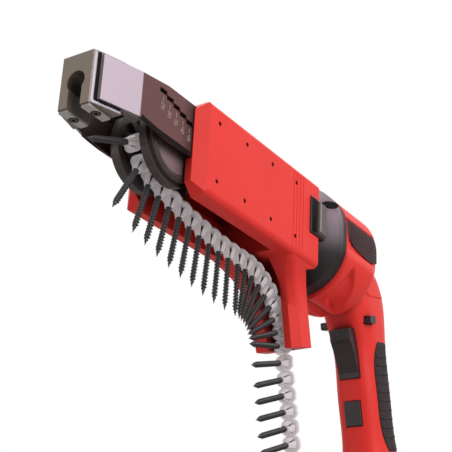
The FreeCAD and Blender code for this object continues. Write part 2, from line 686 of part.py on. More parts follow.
def magazine():
    """The two halves of the magazine housing and the screws that hold them."""
    span = ("-magazine_rear", "magazine_length")
    sides = (both("magazine_half_width"), ("-magazine_bottom", "magazine_top"))
    long_rounds = rounded(block(span, *sides), size.magazine_round, runs_along("x"))
    front_rim = bevelled(block(span, *sides), size.rim_bevel, lies_at("x", size.magazine_length))
    case = common(long_rounds, front_rim)
    rib = block(
        ("feedway_start", "magazine_length - rim_bevel"),
        (f"-({FEEDWAY} + guide_thick)", f"-({FEEDWAY})"),
        ("-(magazine_bottom + guide_depth)", "-(magazine_bottom - guide_thick)"),
    )
    body = seat(join(case, rib))
    drop = ("axis_height - leg_drop", "axis_height - leg_root")
    left_wall = block(
        ("joint_ahead + leg_rear", "joint_ahead + leg_front"), ("0", "leg_half_width"), drop
    )
    left_wall = bevelled(left_wall, size.leg_bevel, lambda edge: (
        lies_at("x", size.joint_ahead + size.leg_front)(edge) and lies_at("y", size.leg_half_width)(edge)
    ))
    right_wall = padded("XZ_Plane", [
        ("joint_ahead + leg_rear", drop[0]),
        ("joint_ahead + gusset_foot", drop[0]),
        ("joint_ahead + gusset_front", drop[1]),
        ("joint_ahead + leg_rear", drop[1]),
    ], ("-leg_half_width", "0"))
    whole = join(body, left_wall, right_wall)
    centre = bend_centre()
    groove = made(
        Part.makeCylinder(
            size.bend_radius + size.channel_gap,
            2 * (size.strip_half_width + size.slide_gap),
            Vector(centre.x, -size.strip_half_width - size.slide_gap, centre.z),
            Vector(0, 1, 0),
        ),
        lean(),
    )
    end = lean().multVec(centre - pointing(size.tilt) * size.bend_radius)
    shaft = made(
        Part.makeBox(
            size.gusset_front + size.bend_radius,
            2 * (size.strip_half_width + size.slide_gap),
            size.leg_drop,
            Vector(end.x - size.channel_gap, -size.strip_half_width - size.slide_gap, end.z - size.leg_drop),
        )
    )
    way = group(
        block(("slide_start", "magazine_length + 1"), both(SLIDEWAY), (
            "-(plate_bottom + slide_gap)", "plate_top + slide_gap")),
        block(("feedway_start", "magazine_length + 1"), both(FEEDWAY), ("-(magazine_bottom + 1)", "0")),
        rod("neck_radius + slide_gap", "x", ("-(magazine_rear + 1)", "neck_front + slide_gap")),
        rod("spring_radius + spring_wire", "x", ("0", "slide_start + 1")),
    )
    pockets = []
    for side in (1, -1):
        inner = "magazine_half_width - button_deep - button_travel - slide_gap"
        pockets.append(block(
            ("-(magazine_rear + 1)", "button_front + slide_gap"),
            (inner, "magazine_half_width + 1") if side > 0 else ("-(magazine_half_width + 1)", f"-({inner})"),
            ("-(button_bottom + slide_gap)", "button_top + slide_gap"),
        ))
    holes = []
    fasteners = []
    for side in ("", "-"):
        for column in range(4):
            for row_height in ("hole_upper", "-hole_lower"):
                at = {"x": f"hole_first - {column} * hole_pitch", "z": row_height}
                deep = "magazine_half_width - hole_depth"
                sunk = "magazine_half_width - hole_sink"
                holes.append(rod("hole_radius", "y", (deep, "magazine_half_width + 1"), **at))
                fasteners.append(rod("hole_radius - run_gap", "y", (deep, sunk), **at))
                if side:
                    bind(holes[-1], Placement__Base__y="-(magazine_half_width + 1)")
                    bind(fasteners[-1], Placement__Base__y=f"-({sunk})")
    hollow = seat(group(way, *pockets, *holes))
    shell = cut(whole, hollow, groove, shaft)
    node("magazine_shell_left", common(shell, LEFT))
    node("magazine_shell_right", common(shell, RIGHT))
    node("magazine_screws", seat(group(*fasteners)))


magazine()


def release_button(name, side):
    """One release button in its pocket at the magazine's rear."""
    deep = "magazine_half_width - button_deep"
    proud = "magazine_half_width + button_proud"
    span = (deep, proud) if side > 0 else (f"-({proud})", f"-({deep})")
    key = block(("-button_rear", "button_front"), span, ("-button_bottom", "button_top"))
    key = rounded(key, size.button_proud, lies_at("y", side * (size.magazine_half_width + size.button_proud)))
    node(name, seat(key))


release_button("release_button_left", 1)
release_button("release_button_right", -1)


# Nosepiece: foot, wear pads and side plates.

TAPER = "(plate_half_width - plate_tip_half_width) / (plate_front - plate_bend)"
FOOT_REAR = "nose_front - foot_length"


def plate_line(x):
    """Inner face of a side plate's tapered front at a place along the axis."""
    return f"({PLATE_INNER} - (({x}) - plate_bend) * ({TAPER}))"


def nosepiece():
    """Foot with its keyhole, wear pads with screws, and the two side plates."""
    flank = [
        (FOOT_REAR, plate_line(FOOT_REAR)),
        ("plate_front", plate_line("plate_front")),
        ("nose_front", "foot_half_width"),
    ]
    outline = flank + [(x, f"-({y})") for x, y in reversed(flank)]
    foot = padded("XY_Plane", outline, ("-foot_bottom", "foot_top"))
    through = (f"{FOOT_REAR} - 1", "nose_front + 1")
    keyhole = rod("keyhole_radius", "x", through)
    slot = block(through, both("keyslot_half_width"), ("-(foot_bottom + 1)", "0"))
    node("nose_foot", seat(cut(foot, keyhole, slot)))
    pads = []
    heads = []
    for sign in ("", "-"):
        edge = "keyslot_half_width + slide_gap"
        span = (edge, "foot_half_width") if not sign else ("-foot_half_width", f"-({edge})")
        height = ("-(foot_bottom + pad_thick)", "-foot_bottom")
        pad = block((f"{FOOT_REAR} + 1", "nose_front - 1"), span, height)
        middle = {"x": "nose_front - foot_length / 2", "y": f"{sign}({edge} + foot_half_width) / 2"}
        sunk = ("-(foot_bottom + pad_thick)", "-(foot_bottom + pad_thick / 4)")
        pads.append(cut(pad, rod("foot_screw_radius", "z", sunk, **middle)))
        heads.append(rod("foot_screw_radius - run_gap", "z", sunk, **middle))
    node("foot_pads", seat(group(*pads)))
    node("foot_screws", seat(group(*heads)))
    for name, sign in (("nose_plate_left", ""), ("nose_plate_right", "-")):
        outer = [
            ("plate_rear", f"{sign}(plate_half_width)"),
            ("plate_bend", f"{sign}(plate_half_width)"),
            ("plate_front", f"{sign}(plate_tip_half_width)"),
        ]
        inward = "+" if sign else "-"
        inner = [(x, f"{y} {inward} plate_thick") for x, y in outer]
        plan = padded("XY_Plane", outer + inner[::-1], ("-plate_bottom", "plate_top"))
        view = padded("XZ_Plane", [
            ("plate_rear", "-plate_bottom"),
            ("plate_shoulder", "-plate_bottom"),
            ("plate_bend", "-plate_tip_bottom"),
            ("plate_front", "-plate_tip_bottom"),
            ("plate_front", "plate_tip_top"),
            ("plate_bend", "plate_tip_top"),
            ("plate_shoulder", "plate_top"),
            ("plate_rear", "plate_top"),
        ], both("plate_half_width + 1"))
        plate = common(plan, view)
        notches = []
        for number in range(6):
            x = f"notch_first - {number} * notch_step"
            low = f"plate_tip_top - notch_height * (1 + {number} / 2)"
            across = ("plate_half_width - 2 * plate_thick", "plate_half_width + 1")
            notches.append(block((f"{x} - notch_step", f"{x}"), across if not sign else (
                f"-({across[1]})", f"-({across[0]})"), (low, f"{low} + notch_height * 3 / 4")))
        node(name, seat(cut(plate, *notches)))


nosepiece()


# Carriage with the feed cheeks and the sprocket.

def carriage():
    """Rear wall and bridge that carry the two round feed cheeks."""
    wall_front = "carriage_rear + carriage_wall"
    wall = block(
        ("carriage_rear", wall_front), both(f"{PLATE_INNER} - slide_gap"), ("-plate_bottom", "plate_top")
    )
    bridge = block(("carriage_rear", "carriage_front"), both("cheek_outer"), ("bridge_low", "bridge_high"))
    way = rod("bit_room", "x", ("carriage_rear - 1", f"{wall_front} + 1"))
    wheel_room = block(("cheek_ahead - cheek_radius", "carriage_front + 1"), both("cheek_inner"), (
        "bridge_low - 1", "plate_top + 1"))
    wide = block(("carriage_rear", "carriage_rear + carriage_wide"), both(f"{PLATE_INNER} - slide_gap"), (
        "bridge_low", "plate_top"))
    node("carriage_frame", seat(cut(join(wall, wide, bridge), way, wheel_room)))
    for name, sign in (("feed_cheek_left", ""), ("feed_cheek_right", "-")):
        def across(inner, outer):
            return (inner, outer) if not sign else (f"-({outer})", f"-({inner})")
        at = {"x": "cheek_ahead", "z": "-cheek_drop"}
        disc = join(
            rod("cheek_radius", "y", across("cheek_inner", "cheek_outer - cheek_step"), **at),
            rod("cheek_radius - cheek_step", "y", across("cheek_outer - cheek_step", "cheek_outer"), **at),
        )
        arm = block(
            (wall_front, "cheek_ahead"),
            across("cheek_inner", "cheek_outer"),
            ("-(cheek_drop + cheek_radius / 2)", "bridge_low"),
        )
        above = block(
            ("cheek_ahead - 2 * cheek_radius", "cheek_ahead + 2 * cheek_radius"),
            across("0", "2 * cheek_outer"),
            ("bridge_low", "bridge_low + cheek_radius"),
        )
        stub = rod(
            "stub_radius", "y", across("cheek_inner - sprocket_thick - 3 * slide_gap", "cheek_inner"),
            x="sprocket_ahead", z="-sprocket_drop",
        )
        node(name, seat(join(cut(join(disc, arm), above), stub)))


carriage()


def sprocket_wheel(name, side):
    """One star wheel of the split feed sprocket, flanking the screw heads."""
    teeth = int(size.sprocket_teeth)
    reach = size.pitch_radius + size.tooth_reach
    valley = size.pitch_radius - size.head_radius
    half = math.pi / teeth
    corners = []
    for tooth in range(teeth):
        middle = math.radians(-size.on_deck_angle) + (2 * tooth + 1) * half
        for radius, share in ((valley, -0.6), (reach, -0.3), (reach, 0.3), (valley, 0.6)):
            angle = middle + share * half
            corners.append(Vector(radius * math.cos(angle), 0, radius * math.sin(angle)))
    star = Part.Face(Part.makePolygon(corners + corners[:1]))
    thick = Vector(0, size.sprocket_thick, 0)
    wheel = star.extrude(thick)
    bore = Part.makeCylinder(
        size.stub_radius + size.run_gap, 2 * size.sprocket_thick, thick * -0.5, Vector(0, 1, 0)
    )
    wheel = wheel.cut(bore)
    inner = size.cheek_inner - size.slide_gap - size.sprocket_thick
    low = inner if side > 0 else -inner - size.sprocket_thick
    place = Placement(Vector(size.sprocket_ahead, low, -size.sprocket_drop), Rotation())
    node(name, made(wheel, lean().multiply(place)))


sprocket_wheel("sprocket_left", 1)
sprocket_wheel("sprocket_right", -1)


# Springs as one wire along quarter-turn biarcs.

def arc_through(start, apex, end):
    """Arc from start to end, tangent to the lines through their apex."""
    middle = (start + end) * 0.5
    cosine = (end - start).Length / 2 / (apex - start).Length
    rise = (end - start).Length / 2 * math.sqrt((1 - cosine) / (1 + cosine))
    return Part.Arc(start, middle + (apex - middle).normalize() * rise, end).toShape()


def coil(radius, wire, length, turns):
    """A round-wire spring along X, from zero to its length."""
    climb = (length - wire) / turns

    def point(turn):
        angle = math.tau * turn
        return Vector(wire / 2 + climb * turn, radius * math.cos(angle), radius * math.sin(angle))

    def tangent(turn):
        angle = math.tau * turn
        step = math.tau * radius
        return Vector(climb, -step * math.sin(angle), step * math.cos(angle)).normalize()

    edges = []
    for quarter in range(int(turns * 4)):
        start, end = point(quarter / 4), point((quarter + 1) / 4)
        leave, arrive = tangent(quarter / 4), tangent((quarter + 1) / 4)
        chord = end - start
        sway = chord.dot(leave + arrive)
        bow = 2 * (1 - leave.dot(arrive))
        reach = (math.sqrt(sway ** 2 + bow * chord.dot(chord)) - sway) / bow
        first, second = start + leave * reach, end - arrive * reach
        joint = (first + second) * 0.5
        edges += [arc_through(start, first, joint), arc_through(joint, second, end)]
    path = Part.Wire(edges)
    section = Part.Wire([Part.Circle(point(0), tangent(0), wire / 2).toShape()])
    print(f"spring of radius {radius}: gap between turns {climb - wire:.2f} mm")
    return path.makePipeShell([section], True, False)


def return_spring():
    """Spring between the gearcase neck and the carriage."""
    start = size.neck_front + size.slide_gap
    wound = coil(
        size.spring_radius, size.spring_wire, size.carriage_rear - start - size.slide_gap, size.spring_turns
    )
    node("return_spring", made(wound, lean().multiply(Placement(Vector(start, 0, 0), Rotation()))))


return_spring()


# Gearcase with its light.

def gearcase():
    """Collar that holds the gears, with the neck that the magazine clamps on."""
    collar = stadium("gearcase_radius", "barrel_drop", ("-collar_rear", "-collar_front"))
    collar = bevelled(collar, size.gearcase_bevel, lies_at("x", -size.collar_front))
    neck = rod("neck_radius", "x", ("-front_bearing", "neck_front"))
    gear_room = rod(
        "gear_room_radius", "x", ("-(collar_rear + 1)", "-(front_bearing + bearing_width)"),
        z="-gear_room_drop",
    )
    seat_bore = rod(
        "bearing_front_radius", "x",
        ("-(front_bearing + bearing_width + 1)", "-front_bearing + bearing_width"),
    )
    nose_bore = rod("nose_radius + slide_gap", "x", ("-front_bearing", "neck_front + 1"))
    light = {"z": "-(barrel_drop + gearcase_radius - gearcase_bevel - lens_radius / 2)"}
    lens_seat = rod("lens_radius", "x", ("-(collar_front + gearcase_bevel)", "0"), **light)
    shell = cut(join(collar, neck), gear_room, seat_bore, nose_bore, lens_seat)
    node("gearcase", seat(shell))
    lens = rod(
        "lens_radius - run_gap", "x",
        ("-(collar_front + gearcase_bevel)", "-(collar_front + gearcase_bevel / 4)"), **light,
    )
    node("work_light", seat(group(lens)))


gearcase()


# Drive train.

def ring(outer, inner, start, width):
    """A plain bearing or sleeve along X, from a front face backwards."""
    front = f"-({start})"
    rear = f"-({start} + {width})"
    return turned([(rear, inner), (front, inner), (front, outer), (rear, outer)])


def involute_gear(teeth, bore, width, turn):
    """A spur gear about X with involute flanks, its rear face at zero."""
    pitch = size.gear_module * teeth / 2
    base = pitch * math.cos(math.radians(20))
    tip = pitch + size.gear_module
    root = pitch - 1.25 * size.gear_module
    start = max(base, root + size.gear_module / 4)

    def spread(radius):
        roll = math.acos(base / radius)
        return math.tan(roll) - roll

    half = math.pi / 2 / teeth + spread(pitch)
    flank = [start + (tip - start) * step / 4 for step in range(5)]
    edges = []
    for tooth in range(teeth):
        middle = turn + math.tau * tooth / teeth

        def at(radius, angle):
            return Vector(0, radius * math.sin(middle + angle), radius * math.cos(middle + angle))

        rising = [at(radius, spread(radius) - half) for radius in flank]
        falling = [at(radius, half - spread(radius)) for radius in reversed(flank)]
        rise = Part.BSplineCurve()
        rise.interpolate(rising)
        fall = Part.BSplineCurve()
        fall.interpolate(falling)
        side = half - spread(start)
        next_side = math.tau / teeth - side
        edges.append(Part.LineSegment(at(root, -side), rising[0]).toShape())
        edges.append(rise.toShape())
        edges.append(Part.Arc(rising[-1], at(tip, 0), falling[0]).toShape())
        edges.append(fall.toShape())
        edges.append(Part.LineSegment(falling[-1], at(root, side)).toShape())
        valley = at(root, (side + next_side) / 2)
        edges.append(Part.Arc(at(root, side), valley, at(root, next_side)).toShape())
    outline = Part.Face(Part.Wire(edges))
    return outline.extrude(Vector(width, 0, 0)).cut(Part.makeCylinder(bore, width, Vector(), Vector(1, 0, 0)))


def drive_train():
    """Spindle with its gear and bit, the motor, the bearings and the plates that hold them."""
    drop = "-shaft_drop"
    bearing_rear_end = "collar_rear + plate_width"
    spindle = turned([
        (f"-({bearing_rear_end})", "0"),
        (f"-({bearing_rear_end})", "tail_radius"),
        ("-collar_rear", "tail_radius"),
        ("-collar_rear", "spindle_radius"),
        ("-front_bearing + bearing_width", "spindle_radius"),
        ("-front_bearing + bearing_width", "nose_radius"),
        ("spindle_nose", "nose_radius"),
        ("spindle_nose", "0"),
    ])
    socket = doc.addObject("Part::Prism", "socket")
    socket.Polygon = 6
    socket.Placement = Placement(Vector(), TURNS["x"])
    bind(
        socket, Circumradius="bit_hex / sqrt(3) + run_gap", Height="socket_depth + 1",
        Placement__Base__x="spindle_nose - socket_depth",
    )
    node("spindle", seat(cut(spindle, socket)))
    shank = doc.addObject("Part::Prism", "shank")
    shank.Polygon = 6
    shank.Placement = Placement(Vector(), TURNS["x"])
    bind(
        shank, Circumradius="bit_hex / sqrt(3)", Height="2 * socket_depth",
        Placement__Base__x="spindle_nose - socket_depth",
    )
    shaft = rod("bit_radius", "x", ("spindle_nose", "bit_tip - 3 * bit_radius"))
    point = cone("bit_radius", "bit_radius / 3", "x", ("bit_tip - 3 * bit_radius", "bit_tip"))
    node("driver_bit", seat(join(shank, shaft, point)))
    gear_rear = Placement(Vector(-size.gear_front - size.gear_width, 0, 0), Rotation())
    gear = involute_gear(int(size.gear_teeth), size.spindle_radius, size.gear_width, 0)
    node("spindle_gear", made(gear, lean().multiply(gear_rear)))
    pinion_rear = Placement(Vector(-size.gear_front - size.gear_width, 0, -size.shaft_drop), Rotation())
    mesh_turn = math.pi / size.pinion_teeth
    gear_turn = math.pi * (1 + size.gear_teeth) % (math.tau / size.gear_teeth)
    pinion_turn = mesh_turn + gear_turn
    pinion = involute_gear(int(size.pinion_teeth), size.motor_shaft_radius, size.gear_width, pinion_turn)
    node("motor_pinion", made(pinion, lean().multiply(pinion_rear)))
    node("spindle_bearing_front", seat(ring(
        "bearing_front_radius", "spindle_radius + run_gap", "front_bearing - bearing_width",
        "2 * bearing_width",
    )))
    node("spindle_bearing_rear", seat(ring(
        "bearing_rear_radius", "tail_radius + run_gap", "collar_rear", "plate_width")))
    node("motor_bearing_front", seat(ring(
        "bearing_motor_radius", "motor_shaft_radius + run_gap", "collar_rear", "plate_width"), z=drop))
    node("motor_bearing_rear", seat(ring(
        "bearing_motor_radius", "motor_shaft_radius + run_gap", "rear_plate_start", "plate_width"), z=drop))
    inner = "barrel_radius - barrel_wall - slide_gap"
    plates = (
        ("mid_plate", "collar_rear", ("bearing_rear_radius", "0")),
        ("rear_plate", "rear_plate_start", None),
    )
    for name, start, spindle_hole in plates:
        span = (f"-({start} + plate_width)", f"-({start})")
        tools = [rod("bearing_motor_radius", "x", span, z=drop)]
        if spindle_hole:
            tools.append(rod(spindle_hole[0], "x", span))
        node(name, seat(cut(stadium(inner, "barrel_drop", span), *tools)))
    node("motor_stator", seat(ring(
        "stator_radius", "rotor_radius + air_gap", "stator_start", "stator_length"), z=drop))
    rotor_end = "stator_start + stator_length"
    rotor = turned([
        ("-(rear_plate_start + plate_width)", "0"),
        ("-(rear_plate_start + plate_width)", "motor_shaft_radius"),
        (f"-({rotor_end} - 1)", "motor_shaft_radius"),
        (f"-({rotor_end} - 1)", "rotor_radius"),
        ("-(stator_start + 1)", "rotor_radius"),
        ("-(stator_start + 1)", "motor_shaft_radius"),
        ("-gear_front", "motor_shaft_radius"),
        ("-gear_front", "0"),
    ])
    node("motor_rotor", seat(rotor, z=drop))
    hub = ring("fan_radius / 3", "motor_shaft_radius", "fan_start", "fan_width")
    disc = ring("fan_radius", "motor_shaft_radius", "fan_start + fan_width * 3 / 4", "fan_width / 4")
    blades = []
    for number in range(int(size.fan_blades)):
        blade = block(
            ("-(fan_start + fan_width)", "-fan_start"), both("blade_width / 2"),
            ("fan_radius / 4", "fan_radius - air_gap"),
        )
        turn = Rotation(Vector(1, 0, 0), 360 * number / size.fan_blades)
        moved = doc.addObject("Part::Compound", "blade")
        moved.Links = [blade]
        moved.Placement = Placement(Vector(), turn)
        blades.append(moved)
    node("motor_fan", seat(join(hub, disc, *blades), z=drop))


drive_train()


# Body shells: barrel, handle and battery foot in two halves.

def upright(front, back, half_width, low, high, radius):
    """A block with rounded upright edges, in the standing frame."""
    box = block((f"-({back})", front), both(half_width), (low, high))
    return rounded(box, radius, runs_along("z"))


RAIL_TOP = "(pack_height + rail_height)"
SECTION_POINTS = 16
SEAM_ROOM = 0.01


def grip_section(level, front, back, half_width, square):
    """One side of a squared oval at a level, from the handle's front to its back."""
    middle = (front - back) / 2
    reach = (front + back) / 2
    corners = []
    for step in range(SECTION_POINTS + 1):
        angle = math.pi * step / SECTION_POINTS
        along = abs(math.cos(angle) / reach) ** square
        aside = abs(math.sin(angle) / half_width) ** square
        radius = (along + aside) ** (-1 / square)
        corners.append(Vector(middle + radius * math.cos(angle), radius * math.sin(angle), level))
    corners[0].y = 0
    corners[-1].y = 0
    curve = Part.BSplineCurve()
    curve.interpolate(
        Points=corners, InitialTangent=Vector(0, half_width, 0), FinalTangent=Vector(0, -half_width, 0)
    )
    return curve.toShape()


def straight(curve):
    """A straight edge between the ends of a curved one."""
    return Part.makeLine(curve.Vertexes[0].Point, curve.Vertexes[-1].Point)


def grip_half(grow, sign):
    """One side of the battery foot, handle and tail as one flowing form, or a fuller copy."""
    grip = size.trigger_low - size.foot_block_top
    swell = size.ankle_swell
    foot = (size.foot_block_front, size.foot_block_back, size.foot_block_half_width, size.foot_square)
    waist = (size.handle_front, size.handle_back, size.handle_half_width)
    tail = (size.tail_front + size.hump_reach, size.tail_back, size.tail_half_width)
    crown = (tail[0], size.crown_depth - size.tail_front, size.tail_half_width - size.crown_slim)
    cap = (tail[0], size.cap_depth - size.tail_front, crown[2] - size.crown_slim)
    square = size.grip_square
    levels = [
        (size.foot_block_top - size.foot_shoulder, *foot),
        (size.foot_block_top + grip / 6, *(part + swell for part in waist), square),
        (size.foot_block_top + grip / 2, *waist, square),
        (size.trigger_low, waist[0], waist[1] + size.palm_swell / 2, waist[2], square),
        ((size.trigger_low + size.trigger_high) / 2, waist[0], waist[1] + size.palm_swell, waist[2], square),
        (size.shuttle_low, waist[0] + size.web_reach, tail[1], tail[2], square),
        (size.axis_height - size.hump_sink, *tail, square),
        (size.tail_high, *crown, square),
        (size.tail_high + size.cap_rise, *cap, square),
    ]
    outlines = [
        grip_section(level, front + grow, back + grow, half_width + grow, shape)
        for level, front, back, half_width, shape in levels
    ]
    skin = Part.makeLoft([Part.Wire([outline]) for outline in outlines], False, False).Faces[0]
    chords = [straight(outlines[0]), straight(outlines[-1])]
    ends = [Part.Face(Part.Wire([outlines[0], chords[0]])), Part.Face(Part.Wire([outlines[-1], chords[1]]))]
    seams = [edge for edge in skin.Edges if edge.BoundBox.YMax < SEAM_ROOM]
    middle = Part.Face(Part.Wire(Part.sortEdges([*seams, *chords])[0]))
    walls = Part.makeCompound([skin, middle, *ends])
    walls.sewShape()
    upper = Part.Solid(walls)
    if upper.Volume < 0:
        upper.reverse()
    base = size.pack_height + size.slide_gap
    floor = ends[0].translated(Vector(0, 0, base - levels[0][0]))
    half = upper.fuse(floor.extrude(Vector(0, 0, levels[0][0] - base)))
    return half if sign > 0 else half.mirror(Vector(), Vector(0, 1, 0))


def body_shells():
    """Two shells, split on the middle plane, with every opening that they need."""
    barrel = stadium("barrel_radius", "barrel_drop", ("-barrel_rear", "-collar_rear"))
    barrel = seat(rounded(barrel, size.barrel_round, lies_at("x", -size.barrel_rear)))
    barrel_room = stadium(
        "barrel_radius - barrel_wall", "barrel_drop", ("-cavity_rear", "-(collar_rear - 1)")
    )
    vents = []
    for sign in ("", "-"):
        vents.append(vent_panel(sign, "1"))
    handle_room = upright(
        "handle_front - handle_wall", "handle_back - handle_wall", "handle_half_width - handle_wall",
        f"{RAIL_TOP} + 2 * handle_wall", "handle_top", size.handle_round - size.handle_wall,
    )
    trigger_slot = block(
        ("0", "handle_front + trigger_reach"), both("trigger_half_width + slide_gap"),
        ("trigger_low - slide_gap", "trigger_high + slide_gap"),
    )
    shuttle_slot = block(
        ("shuttle_front - shuttle_depth - slide_gap", "shuttle_front + slide_gap"),
        both("tail_half_width + 1"),
        ("shuttle_low - slide_gap", "shuttle_low + shuttle_height + slide_gap"),
    )
    lock_slot = block(
        ("0", "handle_front + 1"), both("lock_half_width + slide_gap"),
        ("lock_low - slide_gap", "lock_high + slide_gap"),
    )
    rail_slot = [
        block(
            ("-(rail_back + slide_gap)", "foot_block_front + 1"), both("rail_outer + slide_gap"),
            ("pack_height + rail_neck_height - slide_gap", f"{RAIL_TOP} + slide_gap"),
        ),
        block(
            ("-(rail_back + slide_gap)", "foot_block_front + 1"), both("rail_neck + slide_gap"),
            ("pack_height - 1", "pack_height + rail_neck_height"),
        ),
    ]
    pad_slot = block(
        ("-2 * handle_back", "-(handle_back - pad_deep)"), both("pad_half_width"), ("pad_low", "pad_high")
    )
    sinks, heads = body_screws()
    openings = group(
        seat(group(barrel_room, *vents)), handle_room, trigger_slot, shuttle_slot, lock_slot,
        *rail_slot, pad_slot, *sinks,
    )
    node("body_screws", group(*heads))
    for name, sign, side in (("body_shell_left", 1, LEFT), ("body_shell_right", -1, RIGHT)):
        half = join(common(barrel, side), made(grip_half(0, sign)))
        node(name, cut(half, openings))
    pad = join(made(grip_half(size.pad_proud, 1)), made(grip_half(size.pad_proud, -1)))
    node("grip_pad", common(pad, pad_slot))


def body_screws():
    """Counterbores in the right shell and the screw heads that sit in them."""
    places = [
        ("handle_half_width", "-handle_wall", "foot_block_top + handle_round"),
        ("handle_half_width", "-handle_wall", "trigger_low - handle_round / 2"),
        ("foot_block_half_width", "foot_block_front / 2", "foot_block_top - handle_round"),
        ("foot_block_half_width", "-foot_block_back / 2", "foot_block_top - handle_round"),
    ]
    sinks = []
    heads = []
    for surface, x, z in places:
        base = f"-({surface} - handle_wall + slide_gap)"
        sinks.append(rod("body_screw_radius", "y", (f"-({surface} + 2 * handle_wall)", base), x=x, z=z))
        face = f"-({surface} - body_screw_sink)"
        heads.append(rod("body_screw_radius - run_gap", "y", (face, base), x=x, z=z))
    return sinks, heads


def vent_panel(sign, proud):
    """A curved panel on one side of the barrel, or its pocket when it stands prouder."""
    span = ("-vent_rear", "-vent_front")
    outer = f"barrel_radius + {proud}"
    sleeve = cut(rod(outer, "x", span), rod("barrel_radius + vent_proud - vent_thick", "x", span))
    reach = ("0", "2 * barrel_radius") if not sign else ("-2 * barrel_radius", "0")
    upper = common(sleeve, block(span, reach, ("0", "vent_top")))
    near = "barrel_radius + vent_proud - vent_thick"
    flat = block(span, (near, outer) if not sign else (f"-({outer})", f"-({near})"), ("-barrel_drop", "0"))
    return join(upper, flat)


body_shells()
node("vent_panel_left", seat(vent_panel("", "vent_proud")))
node("vent_panel_right", seat(vent_panel("-", "vent_proud")))


# Trigger, switches and electrics in the handle.

def room_shape():
    """The handle's hollow, less a sliding gap, for what fills its width."""
    return upright(
        "handle_front - handle_wall - slide_gap", "handle_back - handle_wall - slide_gap",
        "handle_half_width - handle_wall - slide_gap", "pack_height", "handle_top",
        size.handle_round - size.handle_wall,
    )


def controls():
    """Trigger with its spring, switch module, shuttle, lock-on button and boards."""
    back = "handle_front - trigger_depth"
    middle = "(trigger_low + trigger_high) / 2"
    face = padded("XZ_Plane", [
        (back, "trigger_low"),
        (back, "trigger_high"),
        ("handle_front + trigger_reach", "trigger_high"),
        ("handle_front + trigger_reach", "trigger_high - trigger_half_width"),
        ("handle_front + trigger_reach / 2", middle),
        ("handle_front + trigger_lip", "trigger_low + trigger_half_width / 2"),
        ("handle_front + trigger_lip", "trigger_low"),
    ], both("trigger_half_width"))
    pocket_radius = "trigger_spring_radius + trigger_spring_wire / 2 + slide_gap"
    pocket = rod(pocket_radius, "x", (f"{back} - 1", f"{back} + spring_pocket"), z=middle)
    node("trigger", cut(face, pocket))
    switch_front = "handle_front - trigger_depth - trigger_travel - slide_gap"
    room_back = "handle_back - handle_wall - slide_gap"
    switch = block(
        (f"-({room_back})", switch_front), both("handle_half_width - handle_wall - slide_gap"),
        ("trigger_low", "trigger_high"),
    )
    node("switch_module", common(switch, room_shape()))
    start = size.handle_front - size.trigger_depth - size.trigger_travel
    length = size.trigger_travel + size.spring_pocket - size.slide_gap
    wound = coil(size.trigger_spring_radius, size.trigger_spring_wire, length, size.trigger_spring_turns)
    height = (size.trigger_low + size.trigger_high) / 2
    node("trigger_spring", made(wound, Placement(Vector(start, 0, height), Rotation())))
    shuttle = block(
        ("shuttle_front - shuttle_depth", "shuttle_front"), both("shuttle_half_width"),
        ("shuttle_low", "shuttle_low + shuttle_height"),
    )
    node("direction_shuttle", rounded(shuttle, size.run_gap * 40, runs_along("y")))
    lock = block(
        ("handle_front - lock_depth", "handle_front + lock_proud"), both("lock_half_width"),
        ("lock_low", "lock_high"),
    )
    node("lock_button", rounded(lock, size.lock_proud, lies_at("x", size.handle_front + size.lock_proud)))
    board = block(
        (f"-({room_back})", f"-({room_back}) + board_thick"),
        both("handle_half_width - handle_wall - slide_gap"),
        ("board_low", "board_high"),
    )
    node("control_board", common(board, room_shape()))
    base = block(("-rail_back", "-rail_back / 3"), both("rail_inner - 2 * slide_gap"), (
        f"{RAIL_TOP} - rail_neck_height", f"{RAIL_TOP} + slide_gap"))
    blades = [
        block(
            ("-rail_back * 3 / 4", "-rail_back / 3"),
            (f"{row} * blade_gap - blade_thick / 2", f"{row} * blade_gap + blade_thick / 2"),
            ("pack_height + 3 * slide_gap", f"{RAIL_TOP} - rail_neck_height"),
        )
        for row in (-1, 0, 1)
    ]
    node("terminal_block", join(base, *blades))


controls()


# Battery pack.

